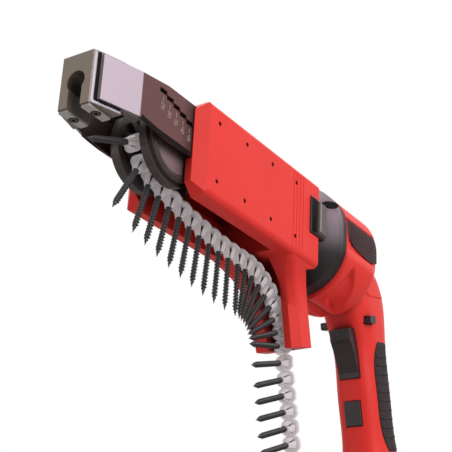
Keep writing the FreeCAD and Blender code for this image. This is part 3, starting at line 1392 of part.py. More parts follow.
def battery():
    """Case halves, rails, cells, contacts and latch buttons."""
    half = "pack_half_length"
    inner_length = "pack_half_length - pack_wall"
    inner_width = "pack_half_width - pack_wall"
    room = upright(
        inner_length, inner_length, inner_width, "pack_wall", "pack_height - pack_wall",
        size.pack_round - size.pack_wall,
    )
    lower = upright(half, half, "pack_half_width", "0", "pack_split", size.pack_round)
    lower = rounded(lower, size.pack_wall, lies_at("z", 0))
    upper = upright(half, half, "pack_half_width", "pack_split", "pack_height", size.pack_round)
    upper = rounded(upper, size.pack_wall, lies_at("z", size.pack_height))
    rails = []
    for sign in ("", "-"):
        for outer, low, high in (
            ("rail_neck", "0", "rail_neck_height"),
            ("rail_outer", "rail_neck_height", "rail_height"),
        ):
            span = ("rail_inner", outer) if not sign else (f"-{outer}", "-rail_inner")
            rise = (f"pack_height + {low}", f"pack_height + {high}")
            rails.append(block(("-rail_back", "rail_front"), span, rise))
    node("battery_case_lower", cut(lower, room))
    latch_span = (f"{half} - pack_round - latch_front - latch_length", f"{half} - pack_round - latch_front")
    windows = []
    for sign in ("", "-"):
        reach = (f"{inner_width} - 1", "pack_half_width + 1")
        if sign:
            reach = (f"-({reach[1]})", f"-({reach[0]})")
        windows.append(block(
            (f"{latch_span[0]} - slide_gap", f"{latch_span[1]} + slide_gap"), reach,
            ("latch_low - slide_gap", "latch_low + latch_height + slide_gap"),
        ))
    node("battery_case_upper", cut(join(upper, *rails), room, *windows))
    for name, sign in (("battery_latch_left", ""), ("battery_latch_right", "-")):
        reach = (inner_width, "pack_half_width + latch_proud")
        span = reach if not sign else (f"-({reach[1]})", f"-({reach[0]})")
        latch = block(latch_span, span, ("latch_low", "latch_low + latch_height"))
        face = (-1 if sign else 1) * (size.pack_half_width + size.latch_proud)
        node(name, rounded(latch, size.latch_proud * 0.7, lies_at("y", face)))
    pitch = "(2 * cell_radius + slide_gap)"
    cells = []
    for layer in range(2):
        for column in range(int(size.cell_columns)):
            cells.append(rod(
                "cell_radius", "y", both("cell_length / 2"),
                x=f"({column} - (cell_columns - 1) / 2) * {pitch}",
                z=f"pack_wall + slide_gap + cell_radius + {layer} * {pitch}",
            ))
    node("battery_cells", group(*cells))
    contacts = [
        block(
            ("-rail_back * 3 / 4", "-rail_back / 3"),
            (f"{row} * blade_gap - 2 * blade_thick", f"{row} * blade_gap + 2 * blade_thick"),
            ("pack_height", "pack_height + 2 * slide_gap"),
        )
        for row in (-1, 0, 1)
    ]
    node("battery_contacts", group(*contacts))


battery()


# Check the document and write the sub-parts.

doc.recompute()
for item in doc.Objects:
    if {"Invalid", "Error"} & set(item.State):
        raise RuntimeError(f"{item.Name} ({item.Label}) failed: {item.State}")
os.makedirs("parts", exist_ok=True)
for item in NODES:
    if item.Shape.isNull() or not item.Shape.isValid() or not item.Shape.Solids:
        raise RuntimeError(f"{item.Label} has no sound solid")
for item in NODES:
    item.Shape.exportStep(f"parts/{item.Label}.step")
print(len(NODES), "sub-parts written")
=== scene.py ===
"""Scene of a pistol-grip drywall screwdriver with a strip-fed magazine on its nose.

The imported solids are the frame. The classes below dress them, put the finer pieces over
them and set up a plain studio with the camera low in front and to the left of the tool.
Sizes are in millimetres. Points, and a finish's own sizes unless it says otherwise, are in metres.
"""
import logging
import math
from dataclasses import dataclass, field
from enum import Enum
from typing import Dict, Iterable, List, Optional, Sequence, Tuple

import bmesh
import bpy
from mathutils import Matrix, Vector


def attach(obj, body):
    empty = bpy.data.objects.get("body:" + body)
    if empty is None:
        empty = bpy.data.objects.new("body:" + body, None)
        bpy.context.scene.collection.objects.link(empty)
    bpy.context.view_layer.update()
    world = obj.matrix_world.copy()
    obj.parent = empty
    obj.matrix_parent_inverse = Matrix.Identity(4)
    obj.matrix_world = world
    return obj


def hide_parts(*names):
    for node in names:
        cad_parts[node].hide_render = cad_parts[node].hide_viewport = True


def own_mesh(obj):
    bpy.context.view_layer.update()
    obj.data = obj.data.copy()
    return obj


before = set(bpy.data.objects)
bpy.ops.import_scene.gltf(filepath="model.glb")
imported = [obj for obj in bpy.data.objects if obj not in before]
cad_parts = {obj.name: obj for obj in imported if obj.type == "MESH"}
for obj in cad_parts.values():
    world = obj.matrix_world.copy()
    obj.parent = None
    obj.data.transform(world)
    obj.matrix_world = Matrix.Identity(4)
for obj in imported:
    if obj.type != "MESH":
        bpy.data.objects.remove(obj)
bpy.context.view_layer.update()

LOG = logging.getLogger("drywall_screwdriver")

# A span is two ends or two sizes, a window is rear, front, low and high, and a spot is a point with
# the direction out of its surface. A rib's size is its width and height, a slab's its height and bevel.
Colour = Tuple[float, float, float]
Point = Tuple[float, float, float]
Trio = Tuple[float, float, float]
Span = Tuple[float, float]
Window = Tuple[float, float, float, float]
Table = Tuple[Tuple[float, ...], ...]
Ring = List[Vector]
Spot = Tuple[Vector, Vector]
Cell = Tuple[int, int]
Socket = bpy.types.NodeSocket

MM = 0.001
SINK = 0.2 * MM
RIB_BEVEL = 0.45
SLAB_BEVEL = 0.8
RAY_START = 60.0
TILT = math.radians(13)
JOINT = Vector((0.102, 0.0, 0.250))
ALONG = Vector((math.cos(TILT), 0.0, math.sin(TILT)))
ABOVE = Vector((-math.sin(TILT), 0.0, math.cos(TILT)))
ACROSS = Vector((0.0, 1.0, 0.0))
AHEAD = Vector((1.0, 0.0, 0.0))


class Side(Enum):
    """The two sides of the tool, by the sign of their Y."""

    LEFT = 1
    RIGHT = -1

    @property
    def word(self) -> str:
        """The side's name as piece and solid names have it."""
        return self.name.lower()

    @property
    def out(self) -> Vector:
        """The direction out of this side."""
        return ACROSS * self.value


class Grain(Enum):
    """Surface grains, as (cells per metre, depth in metres)."""

    POLISHED = (1500.0, 0.000002)
    FINE = (2400.0, 0.000012)
    SATIN = (1700.0, 0.000020)
    SPARK = (1100.0, 0.000045)
    CAST = (650.0, 0.000060)


class Body(Enum):
    """Names of the moving bodies that pieces ride on."""

    GUN = "body"
    CARRIAGE = "carriage"
    NOSE = "nosepiece"
    TRIGGER = "trigger"
    BATTERY = "battery"
    RELEASE_LEFT = "release_left"
    RELEASE_RIGHT = "release_right"


def drive(x: float, y: float, z: float) -> Vector:
    """A point of the leaning drive frame as a point of the scene.

    Args:
        x: distance ahead of the magazine joint along the drive axis.
        y: distance to the tool's left.
        z: distance above the drive axis.

    Returns:
        The point in metres.
    """
    return JOINT + (ALONG * x + ACROSS * y + ABOVE * z) * MM


def stand(x: float, y: float, z: float) -> Vector:
    """A point of the standing frame, in metres."""
    return Vector((x, y, z)) * MM


# Finishes.


class NodeSheet:
    """A material's node tree, with short calls for the nodes that the finishes share."""

    def __init__(self, name: str) -> None:
        """Start a tree with one shader.

        Args:
            name: name of the material.
        """
        self.material = bpy.data.materials.new(name)
        self.material.use_nodes = True
        self.tree = self.material.node_tree
        self.tree.nodes.clear()
        self.shader = self.add("ShaderNodeBsdfPrincipled")
        self.output = self.add("ShaderNodeOutputMaterial", Surface=self.shader.outputs["BSDF"])
        self.place = self.add("ShaderNodeTexCoord").outputs["Object"]

    def add(self, kind: str, **inputs: object) -> bpy.types.Node:
        """Add a node and feed its inputs, with underscores for the spaces in their names.

        Args:
            kind: kind of the node.
            inputs: sockets or constants.

        Returns:
            The node.
        """
        node = self.tree.nodes.new(kind)
        for name, value in inputs.items():
            self.feed(node.inputs[name.replace("_", " ")], value)
        return node

    def feed(self, target: Socket, value: object) -> None:
        """Link a socket from another one, or set it to a constant.

        Args:
            target: socket to feed.
            value: socket or constant.
        """
        if isinstance(value, Socket):
            self.tree.links.new(value, target)
        else:
            target.default_value = value

    def fix(self, **values: object) -> None:
        """Feed the shader's own sockets, with underscores for spaces."""
        for name, value in values.items():
            self.feed(self.shader.inputs[name.replace("_", " ")], value)

    def work_out(self, kind: str, operation: str, *values: object) -> bpy.types.Node:
        """A sum on sockets or constants.

        Args:
            kind: kind of the node, for numbers or for vectors.
            operation: Blender's name of the sum.
            values: what goes into the sum.

        Returns:
            The node.
        """
        node = self.add(kind)
        node.operation = operation
        for socket, value in zip(node.inputs, values):
            self.feed(socket, value)
        return node

    def math(self, operation: str, *values: object) -> Socket:
        """The result of a sum on numbers."""
        return self.work_out("ShaderNodeMath", operation, *values).outputs["Value"]

    def vector(self, operation: str, *values: object) -> bpy.types.Node:
        """The node of a sum on vectors."""
        return self.work_out("ShaderNodeVectorMath", operation, *values)

    def noise(self, scale: float, detail: float = 2.0, stretch: Optional[Point] = None) -> Socket:
        """A noise over the object's own coordinates.

        Args:
            scale: cells per metre.
            detail: octaves.
            stretch: scale along each axis, for streaks.

        Returns:
            The noise's factor.
        """
        place = self.place
        if stretch:
            place = self.add("ShaderNodeMapping", Vector=place, Scale=stretch).outputs["Vector"]
        return self.add("ShaderNodeTexNoise", Vector=place, Scale=scale, Detail=detail).outputs["Fac"]

    def along(self, direction: Vector, origin: Vector = Vector()) -> Socket:
        """Distance in metres along a direction from an origin, in the object's own coordinates."""
        shift = self.vector("SUBTRACT", self.place, origin).outputs["Vector"]
        return self.vector("DOT_PRODUCT", shift, direction).outputs["Value"]

    def spread(self, factor: Socket, low: float, high: float,
               start: float = 0.0, end: float = 1.0) -> Socket:
        """Map a factor's range to another range.

        Args:
            factor: socket to map.
            low: result at start.
            high: result at end.
            start: lower end of the factor.
            end: upper end of the factor.

        Returns:
            The mapped value's socket.
        """
        node = self.add("ShaderNodeMapRange", Value=factor,
                        From_Min=start, From_Max=end, To_Min=low, To_Max=high)
        return node.outputs["Result"]

    def ramp(self, factor: Socket, span: Span) -> Socket:
        """A rise from nothing to one over a span in millimetres."""
        return self.spread(factor, 0.0, 1.0, *(place * MM for place in span))

    def blend(self, factor: Socket, first: object, second: object) -> Socket:
        """Mix two colours, each a socket or a plain colour.

        Args:
            factor: share of the second colour.
            first: first colour.
            second: second colour.

        Returns:
            The mixed colour's socket.
        """
        node = self.add("ShaderNodeMix")
        node.data_type = "RGBA"
        self.feed(node.inputs["Factor"], factor)
        for name, value in (("A", first), ("B", second)):
            socket = next(item for item in node.inputs if item.name == name and item.type == "RGBA")
            self.feed(socket, value if isinstance(value, Socket) else (*value, 1.0))
        return next(item for item in node.outputs if item.type == "RGBA")

    def mottle(self, tint: Colour, amount: float, scale: float = 35.0) -> Socket:
        """A tint that wanders a little darker and lighter over the surface.

        Args:
            tint: the middle colour.
            amount: share that it wanders either way.
            scale: cells per metre.

        Returns:
            The colour's socket.
        """
        dark = tuple(part * (1 - amount) for part in tint)
        light = tuple(min(1.0, part * (1 + amount)) for part in tint)
        return self.blend(self.noise(scale, 3.0), dark, light)

    def shaded(self, colour: Socket, reach: float = 0.02, deep: float = 0.35) -> Socket:
        """A colour with painted shade that deepens it in corners and hollows.

        Args:
            colour: colour in the open.
            reach: how far the walls of a hollow count, in metres.
            deep: share of the colour left in the deepest hollows.

        Returns:
            The shaded colour's socket.
        """
        open_air = self.add("ShaderNodeAmbientOcclusion", Distance=reach)
        open_air.samples = 8
        factor = self.spread(open_air.outputs["AO"], 1.0 - deep, 0.0, start=0.25, end=0.85)
        return self.blend(factor, colour, (0.0, 0.0, 0.0))

    def paint(self, colour: Socket) -> None:
        """Feed the shader's base colour."""
        self.fix(Base_Color=colour)

    def relief(self, height: Socket, depth: float, edge: float = 0.0) -> None:
        """Feed the shader's normal from a height and a soft edge.

        Args:
            height: height field.
            depth: depth of the field in metres.
            edge: radius of the softened edges in metres.
        """
        node = self.add("ShaderNodeBump", Strength=1.0, Distance=depth, Height=height)
        if edge:
            soft = self.add("ShaderNodeBevel", Radius=edge)
            soft.samples = 6
            self.feed(node.inputs["Normal"], soft.outputs["Normal"])
        self.fix(Normal=node.outputs["Normal"])

    def gloss(self, low: float, high: float, scale: float = 60.0) -> None:
        """Let the roughness wander between two values."""
        self.fix(Roughness=self.spread(self.noise(scale, 4.0), low, high))


class Finish:
    """A finish that makes its material once and lays it on meshes."""

    name: str
    label: str = ""

    @property
    def title(self) -> str:
        """The material's name."""
        return f"{self.label or self.name}_finish"

    def material(self) -> bpy.types.Material:
        """The finish's material, made when first asked for.

        Returns:
            The material.
        """
        if self.title not in bpy.data.materials:
            self.fill(NodeSheet(self.title))
        return bpy.data.materials[self.title]

    def fill(self, sheet: NodeSheet) -> None:
        """Lay out the finish's nodes."""
        raise NotImplementedError

    def lay_on(self, piece: bpy.types.Object) -> None:
        """Make this the only finish of a piece."""
        piece.data.materials.clear()
        piece.data.materials.append(self.material())


@dataclass(frozen=True)
class Moulded(Finish):
    """Moulded plastic or satin paint: a wandering tint with painted shade in its corners and hollows, an
    eroded grain and softened edges.
    """

    name: str
    tint: Colour
    rough: Span = (0.36, 0.46)
    grain: Grain = Grain.SATIN
    wander: float = 0.07
    edge: float = 0.0005
    metal: float = 0.0
    shine: float = 0.5
    label: str = ""
    reach: float = 0.02
    deep: float = 0.35

    def fill(self, sheet: NodeSheet) -> None:
        """Lay out the finish's nodes.

        Args:
            sheet: node tree to fill.
        """
        cells, depth = self.grain.value
        # Painted shade in corners and hollows over the mottled tint.
        sheet.paint(sheet.shaded(sheet.mottle(self.tint, self.wander), self.reach, self.deep))
        sheet.gloss(*self.rough)
        sheet.fix(Metallic=self.metal, Specular_IOR_Level=self.shine)
        sheet.relief(sheet.noise(cells), depth, self.edge)


@dataclass(frozen=True)
class Rubber(Finish):
    """Soft moulded rubber with a matt bloom."""

    name: str
    tint: Colour
    grain: Grain = Grain.SPARK
    label: str = ""

    def fill(self, sheet: NodeSheet) -> None:
        """Lay out the finish's nodes.

        Args:
            sheet: node tree to fill.
        """
        cells, depth = self.grain.value
        sheet.paint(sheet.mottle(self.tint, amount=0.18, scale=80.0))
        sheet.gloss(low=0.62, high=0.78)
        sheet.fix(Specular_IOR_Level=0.22, Sheen_Weight=0.04, Sheen_Roughness=0.5)
        sheet.relief(sheet.noise(cells, detail=3.0), depth, edge=0.0004)


@dataclass(frozen=True)
class BareMetal(Finish):
    """Turned, drawn or plated metal with fine streaks."""

    name: str
    tint: Colour
    rough: Span = (0.22, 0.38)
    streak: Point = (1.0, 1.0, 1.0)
    scale: float = 900.0
    metal: float = 1.0

    def fill(self, sheet: NodeSheet) -> None:
        """Lay out the finish's nodes.

        Args:
            sheet: node tree to fill.
        """
        sheet.paint(sheet.mottle(self.tint, amount=0.12, scale=120.0))
        sheet.gloss(*self.rough, scale=300.0)
        sheet.fix(Metallic=self.metal)
        sheet.relief(sheet.noise(self.scale, 3.0, self.streak), depth=0.000015, edge=0.0002)


@dataclass(frozen=True)
class PaintedLightPlate(Finish):
    """Satin deep brown plate, with a painted reflection that makes it pale ahead of its bend and painted
    shade inside and at its rear end.

    The bend is a place along the drive axis, from which seam and shade count, and middle is the
    change between the two faces, all in millimetres.
    """

    name: str
    front: Colour
    rear: Colour
    bend: float
    seam: Span = (-0.3, 0.3)
    shade: Span = (-48.5, -36.5)
    middle: Span = (-4.0, 4.0)
    dim: float = 0.2

    def fill(self, sheet: NodeSheet) -> None:
        """Lay out the finish's nodes.

        Args:
            sheet: node tree to fill.
        """
        run = sheet.along(ALONG, drive(self.bend, 0, 0))
        dark = tuple(part * self.dim for part in self.rear)
        # Painted shade at the rear end, a painted reflection ahead of the bend, and painted shade on the
        # inner faces.
        rear = sheet.blend(sheet.ramp(run, self.shade), dark, sheet.mottle(self.rear, amount=0.1))
        face = sheet.blend(sheet.ramp(run, self.seam), rear, sheet.mottle(self.front, amount=0.05))
        sheet.paint(sheet.blend(self.outward(sheet), dark, face))
        sheet.gloss(low=0.30, high=0.42, scale=140.0)
        sheet.fix(Metallic=0.1, Specular_IOR_Level=0.3)
        sheet.relief(sheet.noise(1400.0), depth=0.000008, edge=0.0003)

    def outward(self, sheet: NodeSheet) -> Socket:
        """One on faces that look away from the tool's middle plane, nothing on those that face it and take
        the painted shade.

        Args:
            sheet: node tree of the plate.

        Returns:
            The factor's socket.
        """
        normal = sheet.add("ShaderNodeTexCoord").outputs["Normal"]
        turned = sheet.vector("DOT_PRODUCT", normal, ACROSS).outputs["Value"]
        return sheet.ramp(sheet.math("MULTIPLY", turned, sheet.along(ACROSS)), self.middle)


@dataclass(frozen=True)
class BootAndShadeCase(Finish):
    """Cast case, pale above and darker over two spans in millimetres, at its underside, partly a black boot
    and partly painted shade, and at its rear rim.
    """

    name: str
    upper: Colour
    lower: Colour
    fade: Span
    rim: Span = (-29.5, -28.0)

    def fill(self, sheet: NodeSheet) -> None:
        """Lay out the finish's nodes.

        Args:
            sheet: node tree to fill.
        """
        cells, depth = Grain.CAST.value
        height = sheet.ramp(sheet.along(ABOVE, JOINT), self.fade)
        factor = sheet.math("MULTIPLY", height, sheet.ramp(sheet.along(ALONG, JOINT), self.rim))
        # Darker below, partly a black boot and partly painted shade, with painted shade in hollows too.
        sheet.paint(sheet.shaded(sheet.blend(factor, self.lower, sheet.mottle(self.upper, amount=0.08))))
        sheet.gloss(low=0.40, high=0.54)
        sheet.fix(Metallic=0.2, Specular_IOR_Level=0.4)
        sheet.relief(sheet.noise(cells), depth, edge=0.0006)


@dataclass(frozen=True)
class ClearStrip(Finish):
    """Milky, half see-through moulded band that carries light from its far side, with a faint painted glow
    in its own tint.
    """

    name: str
    tint: Colour
    painted_glow: float = 0.05

    def fill(self, sheet: NodeSheet) -> None:
        """Lay out the finish's nodes.

        Args:
            sheet: node tree to fill.
        """
        sheet.paint(sheet.mottle(self.tint, amount=0.05, scale=220.0))
        sheet.gloss(low=0.16, high=0.28, scale=400.0)
        sheet.fix(Alpha=0.74, IOR=1.5)
        sheet.fix(Subsurface_Weight=0.6, Subsurface_Scale=0.004, Subsurface_Radius=(1.0, 0.9, 0.9))
        # Painted glow: a faint emission in the band's own tint.
        sheet.fix(Emission_Color=(*self.tint, 1.0), Emission_Strength=self.painted_glow)
        sheet.relief(sheet.noise(500.0), depth=0.00003, edge=0.0002)


@dataclass(frozen=True)
class Lens(Finish):
    """Clear lens with a faint moulded ripple."""

    name: str
    tint: Colour = (0.9, 0.93, 0.95)

    def fill(self, sheet: NodeSheet) -> None:
        """Lay out the finish's nodes.

        Args:
            sheet: node tree to fill.
        """
        sheet.paint(sheet.mottle(self.tint, amount=0.04, scale=300.0))
        sheet.gloss(low=0.03, high=0.10, scale=200.0)
        sheet.fix(Transmission_Weight=0.9, IOR=1.49)
        sheet.relief(sheet.noise(700.0, detail=1.0), depth=0.00004)


@dataclass(frozen=True)
class Laminated(Finish):
    """Stacked iron sheets, whose thickness is in millimetres, as fine bands along the drive axis."""

    name: str
    tint: Colour
    sheet_iron: float = 0.5

    def fill(self, sheet: NodeSheet) -> None:
        """Lay out the finish's nodes.

        Args:
            sheet: node tree to fill.
        """
        bands = sheet.math("PINGPONG", sheet.along(ALONG), self.sheet_iron * MM)
        height = sheet.ramp(bands, (0.0, self.sheet_iron))
        dark = tuple(part * 0.55 for part in self.tint)
        sheet.paint(sheet.blend(height, dark, sheet.mottle(self.tint, amount=0.1)))
        sheet.gloss(low=0.40, high=0.55)
        sheet.fix(Metallic=0.8)
        sheet.relief(height, depth=0.00008)


# Each moulded finish's reach and deep set how far and how dark its painted shade in hollows goes.
RED = Moulded("red_housing", (0.80, 0.030, 0.022), (0.42, 0.52), shine=0.3, reach=0.03, deep=0.25)
# Gearcase: darker below, partly its black boot and partly painted shade.
GEARCASE = BootAndShadeCase("gearcase_grey", (0.190, 0.132, 0.165), (0.012, 0.009, 0.009), (-20.0, 6.0))
SOFT_BLACK = Rubber("soft_black", (0.028, 0.017, 0.017))
NOSE_GREY = Moulded("nose_grey", (0.215, 0.165, 0.125), (0.34, 0.48), Grain.FINE,
                    edge=0.0007, metal=0.2, reach=0.03, deep=0.1)
# Nose plates: the pale front is a painted reflection, the dark inside and rear end painted shade.
PLATE = PaintedLightPlate("plate_lilac", (0.51, 0.41, 0.48), (0.118, 0.040, 0.038), 179.5)
WEAR_PAD = Moulded("wear_pad", (0.42, 0.39, 0.36), (0.5, 0.65), Grain.CAST)
FEED_DARK = Moulded("feed_dark", (0.075, 0.056, 0.050), (0.30, 0.42), Grain.FINE,
                    edge=0.0007, metal=0.3, shine=0.4)
SPROCKET = Moulded("sprocket_black", (0.035, 0.033, 0.035))
BUTTON = Moulded("button_black", (0.032, 0.022, 0.023), (0.34, 0.44), Grain.FINE, shine=0.35)
# Clear band with a faint painted glow.
STRIP = ClearStrip("strip_clear", (0.92, 0.84, 0.86))
SCREW = BareMetal("screw_black", (0.050, 0.046, 0.047), (0.28, 0.42), metal=0.55)
STEEL = BareMetal("bright_steel", (0.62, 0.62, 0.64), streak=(1.0, 6.0, 6.0))
SPRING = BareMetal("spring_steel", (0.45, 0.45, 0.47))
FASTENER = BareMetal("fastener_steel", (0.16, 0.13, 0.13), (0.3, 0.45))
ALLOY = BareMetal("plate_alloy", (0.55, 0.56, 0.58), (0.4, 0.55))
IRON = Laminated("motor_iron", (0.30, 0.27, 0.25))
INNER = Moulded("inner_black", (0.06, 0.06, 0.065))
PACK_BLACK = Moulded("battery_black", (0.040, 0.038, 0.040), (0.48, 0.6), Grain.SPARK)
PACK_RED = Moulded("battery_red", (0.80, 0.030, 0.022), (0.42, 0.52), shine=0.3)
SLEEVE = Moulded("cell_sleeve", (0.18, 0.30, 0.45), (0.25, 0.35), Grain.POLISHED)
BRASS = BareMetal("contact_brass", (0.78, 0.62, 0.30))
GLASS = Lens("light_lens")
# Near-black painted shade, laid in recesses, gaps and under lips.
PAINTED_SHADE = Moulded("feed_dark", (0.006, 0.005, 0.005), (0.7, 0.8), shine=0.1, label="notch")
MARKING = Moulded("nose_grey", (0.40, 0.31, 0.31), (0.5, 0.6), label="marking")
# Painted highlight along bevelled edges.
PAINTED_HIGHLIGHT = Moulded("plate_lilac", (0.36, 0.32, 0.38), (0.30, 0.40), Grain.FINE,
                      metal=0.2, label="painted_highlight_edge")
BUTTON_FACE = Moulded("button_black", (0.085, 0.047, 0.047), (0.30, 0.40), Grain.FINE, label="button_face")
VENT = Rubber("soft_black", (0.062, 0.030, 0.032), label="vent_brown")
CHEEK_DISC = Moulded("plate_lilac", (0.22, 0.145, 0.160), (0.34, 0.44), Grain.FINE,
                     metal=0.3, label="cheek_disc")


# Mesh making.


@dataclass
class Sculpt:
    """Points and faces of a piece while it is being put together. Its calls can be chained."""

    verts: List[Vector] = field(default_factory=list)
    faces: List[Tuple[int, ...]] = field(default_factory=list)

    def rings(self, rings: Sequence[Ring], loop: bool = False) -> "Sculpt":
        """Skin a row of closed rings that have the same number of points.

        Args:
            rings: the rings.
            loop: whether the last ring joins the first, in place of caps on both.

        Returns:
            The sculpt itself.
        """
        start, count = len(self.verts), len(rings[0])
        for ring in rings:
            self.verts.extend(ring)
        for row in range(len(rings) if loop else len(rings) - 1):
            here = start + row * count
            there = start + ((row + 1) % len(rings)) * count
            for step in range(count):
                nxt = (step + 1) % count
                self.faces.append((here + step, here + nxt, there + nxt, there + step))
        if not loop:
            end = start + (len(rings) - 1) * count
            self.faces.append(tuple(reversed(range(start, start + count))))
            self.faces.append(tuple(range(end, end + count)))
        return self

    def ribbon(self, line: Sequence[Spot], width: float, height: float, loop: bool = False) -> "Sculpt":
        """Lay a rib with bevelled edges along a line.

        Args:
            line: points on the carrying surface with the directions out of it.
            width: width of the rib.
            height: height of the rib.
            loop: whether the rib closes on itself.

        Returns:
            The sculpt itself.
        """
        half, high = width * MM / 2, height * MM
        edge = min(half, high) * RIB_BEVEL
        section = ((-half, -SINK), (-half, high - edge), (edge - half, high),
                   (half - edge, high), (half, high - edge), (half, -SINK))
        last = len(line) - 1
        rings: List[Ring] = []
        for index, (point, up) in enumerate(line):
            before = point if index == 0 and not loop else line[index - 1][0]
            after = point if index == last and not loop else line[(index + 1) % len(line)][0]
            side = (after - before).cross(up).normalized()
            rings.append([point + side * across + up * rise for across, rise in section])
        return self.rings(rings, loop)

    def slab(self, outline: Sequence[Vector], up: Vector, height: float, bevel: float) -> "Sculpt":
        """Raise a bevelled slab from a flat outline.

        Args:
            outline: corners on the carrying surface, in metres.
            up: direction out of the surface.
            height: height of the slab.
            bevel: width of the bevel.

        Returns:
            The sculpt itself.
        """
        middle = sum(outline, Vector()) / len(outline)
        wall = height - min(bevel, height * SLAB_BEVEL)
        return self.rings([
            [point - up * SINK for point in outline],
            [point + up * wall * MM for point in outline],
            [point + (middle - point).normalized() * bevel * MM + up * height * MM for point in outline],
        ])

    def skin(self, grid: Sequence[Sequence[Spot]], height: float) -> "Sculpt":
        """Raise a skin over a grid of surface points, with its border sunk into the surface.

        Args:
            grid: rows of points with the directions out of the surface.
            height: height of the skin.

        Returns:
            The sculpt itself.
        """
        start = len(self.verts)
        rows, columns = len(grid), len(grid[0])
        for row, line in enumerate(grid):
            for column, (point, up) in enumerate(line):
                border = row in (0, rows - 1) or column in (0, columns - 1)
                self.verts.append(point + up * (-SINK if border else height * MM))
        for row in range(rows - 1):
            for column in range(columns - 1):
                corner = start + row * columns + column
                self.faces.append((corner, corner + 1, corner + columns + 1, corner + columns))
        return self

    def piece(self, name: str, finish: Finish, body: Body, smooth: float = 40.0) -> bpy.types.Object:
        """Turn what was put together into a piece that rides on a body.

        Args:
            name: name of the piece.
            finish: finish of the piece, which also names its slot.
            body: body that carries the piece.
            smooth: largest angle in degrees between faces that shade as one.

        Returns:
            The new object.
        """
        mesh = bpy.data.meshes.new(name)
        mesh.from_pydata([tuple(point) for point in self.verts], [], self.faces)
        work = bmesh.new()
        work.from_mesh(mesh)
        loose = [point for point in work.verts if not point.link_faces]
        bmesh.ops.delete(work, geom=loose, context="VERTS")
        bmesh.ops.recalc_face_normals(work, faces=work.faces)
        for face in work.faces:
            face.smooth = True
        for edge in work.edges:
            if len(edge.link_faces) == 2 and edge.calc_face_angle() > math.radians(smooth):
                edge.smooth = False
        work.to_mesh(mesh)
        work.free()
        piece = bpy.data.objects.new(name, mesh)
        bpy.context.scene.collection.objects.link(piece)
        finish.lay_on(piece)
        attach(piece, body.value)
        LOG.info("piece %s on %s", name, body.value)
        return piece


def hit(node: str, origin: Vector, way: Vector) -> Spot:
    """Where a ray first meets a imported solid.

    Args:
        node: name of the solid.
        origin: start of the ray in metres.
        way: direction of the ray.

    Returns:
        The point and the direction out of the surface there.
    """
    found, point, normal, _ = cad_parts[node].ray_cast(origin, way)
    if not found:
        raise ValueError(f"the ray from {origin} misses {node}")
    return point, normal if normal.dot(way) < 0 else -normal


def steps(start: float, end: float, count: int) -> List[float]:
    """Evenly spaced values from start to end, both included."""
    return [start + (end - start) * index / (count - 1) for index in range(count)]


def arc(start: float, end: float, count: int) -> List[float]:
    """Evenly spaced angles in radians between two angles given in degrees."""
    return [math.radians(angle) for angle in steps(start, end, count)]


def around(count: int) -> List[float]:
    """Angles in radians of points spaced evenly round a circle."""
    return arc(0, 360 - 360 / count, count)


def lifted(line: Sequence[Spot], rise: float) -> List[Spot]:
    """A line of surface points moved out of the surface."""
    return [(point + up * rise * MM, up) for point, up in line]


def hemmed(edge: float, inset: float, count: int) -> List[float]:
    """Shares from nothing to one, evenly spaced inside an inset and with a narrow hem at both ends."""
    return [0.0, edge] + steps(inset, 1.0 - inset, count) + [1.0 - edge, 1.0]


def held(share: float) -> float:
    """A share held between nothing and one."""
    return min(1.0, max(0.0, share))


def eased(share: float) -> float:
    """A share that rises steeply from nothing and levels out at one."""
    return math.sin(math.pi / 2 * max(share, 0.0))


def between(table: Table, place: float, column: int = 1) -> float:
    """A value read between the rows of a table.

    Args:
        table: rows that start with their place, in rising order.
        place: place to read at.
        column: column to read.

    Returns:
        The value, held at the table's ends.
    """
    if place <= table[0][0]:
        return table[0][column]
    for low, high in zip(table, table[1:]):
        if place <= high[0]:
            return low[column] + (high[column] - low[column]) * (place - low[0]) / (high[0] - low[0])
    return table[-1][column]


def blurred(heights: Dict[Cell, Optional[float]], weights: Sequence[Tuple[int, float]],
            way: Cell) -> Dict[Cell, float]:
    """Weighted means of a grid's heights along one way.

    Args:
        heights: heights by row and column, with None where there is nothing.
        weights: steps and their weights.
        way: row and column of one step.

    Returns:
        The means by row and column.
    """
    means = {}
    for row, column in heights:
        total = amount = 0.0
        for step, weight in weights:
            value = heights.get((row + way[0] * step, column + way[1] * step))
            if value is not None:
                total += weight * value
                amount += weight
        if amount:
            means[row, column] = total / amount
    return means


def dress(finishes: Dict[Finish, Iterable[str]]) -> None:
    """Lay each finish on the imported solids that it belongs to.

    Args:
        finishes: names of the solids by finish.
    """
    for finish, names in finishes.items():
        for name in names:
            finish.lay_on(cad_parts[name])
            LOG.info("finish %s on solid %s", finish.name, name)


def both(name: str) -> Tuple[str, ...]:
    """The names of a left and a right solid."""
    return tuple(f"{name}_{side.word}" for side in Side)


# Sub-assemblies.


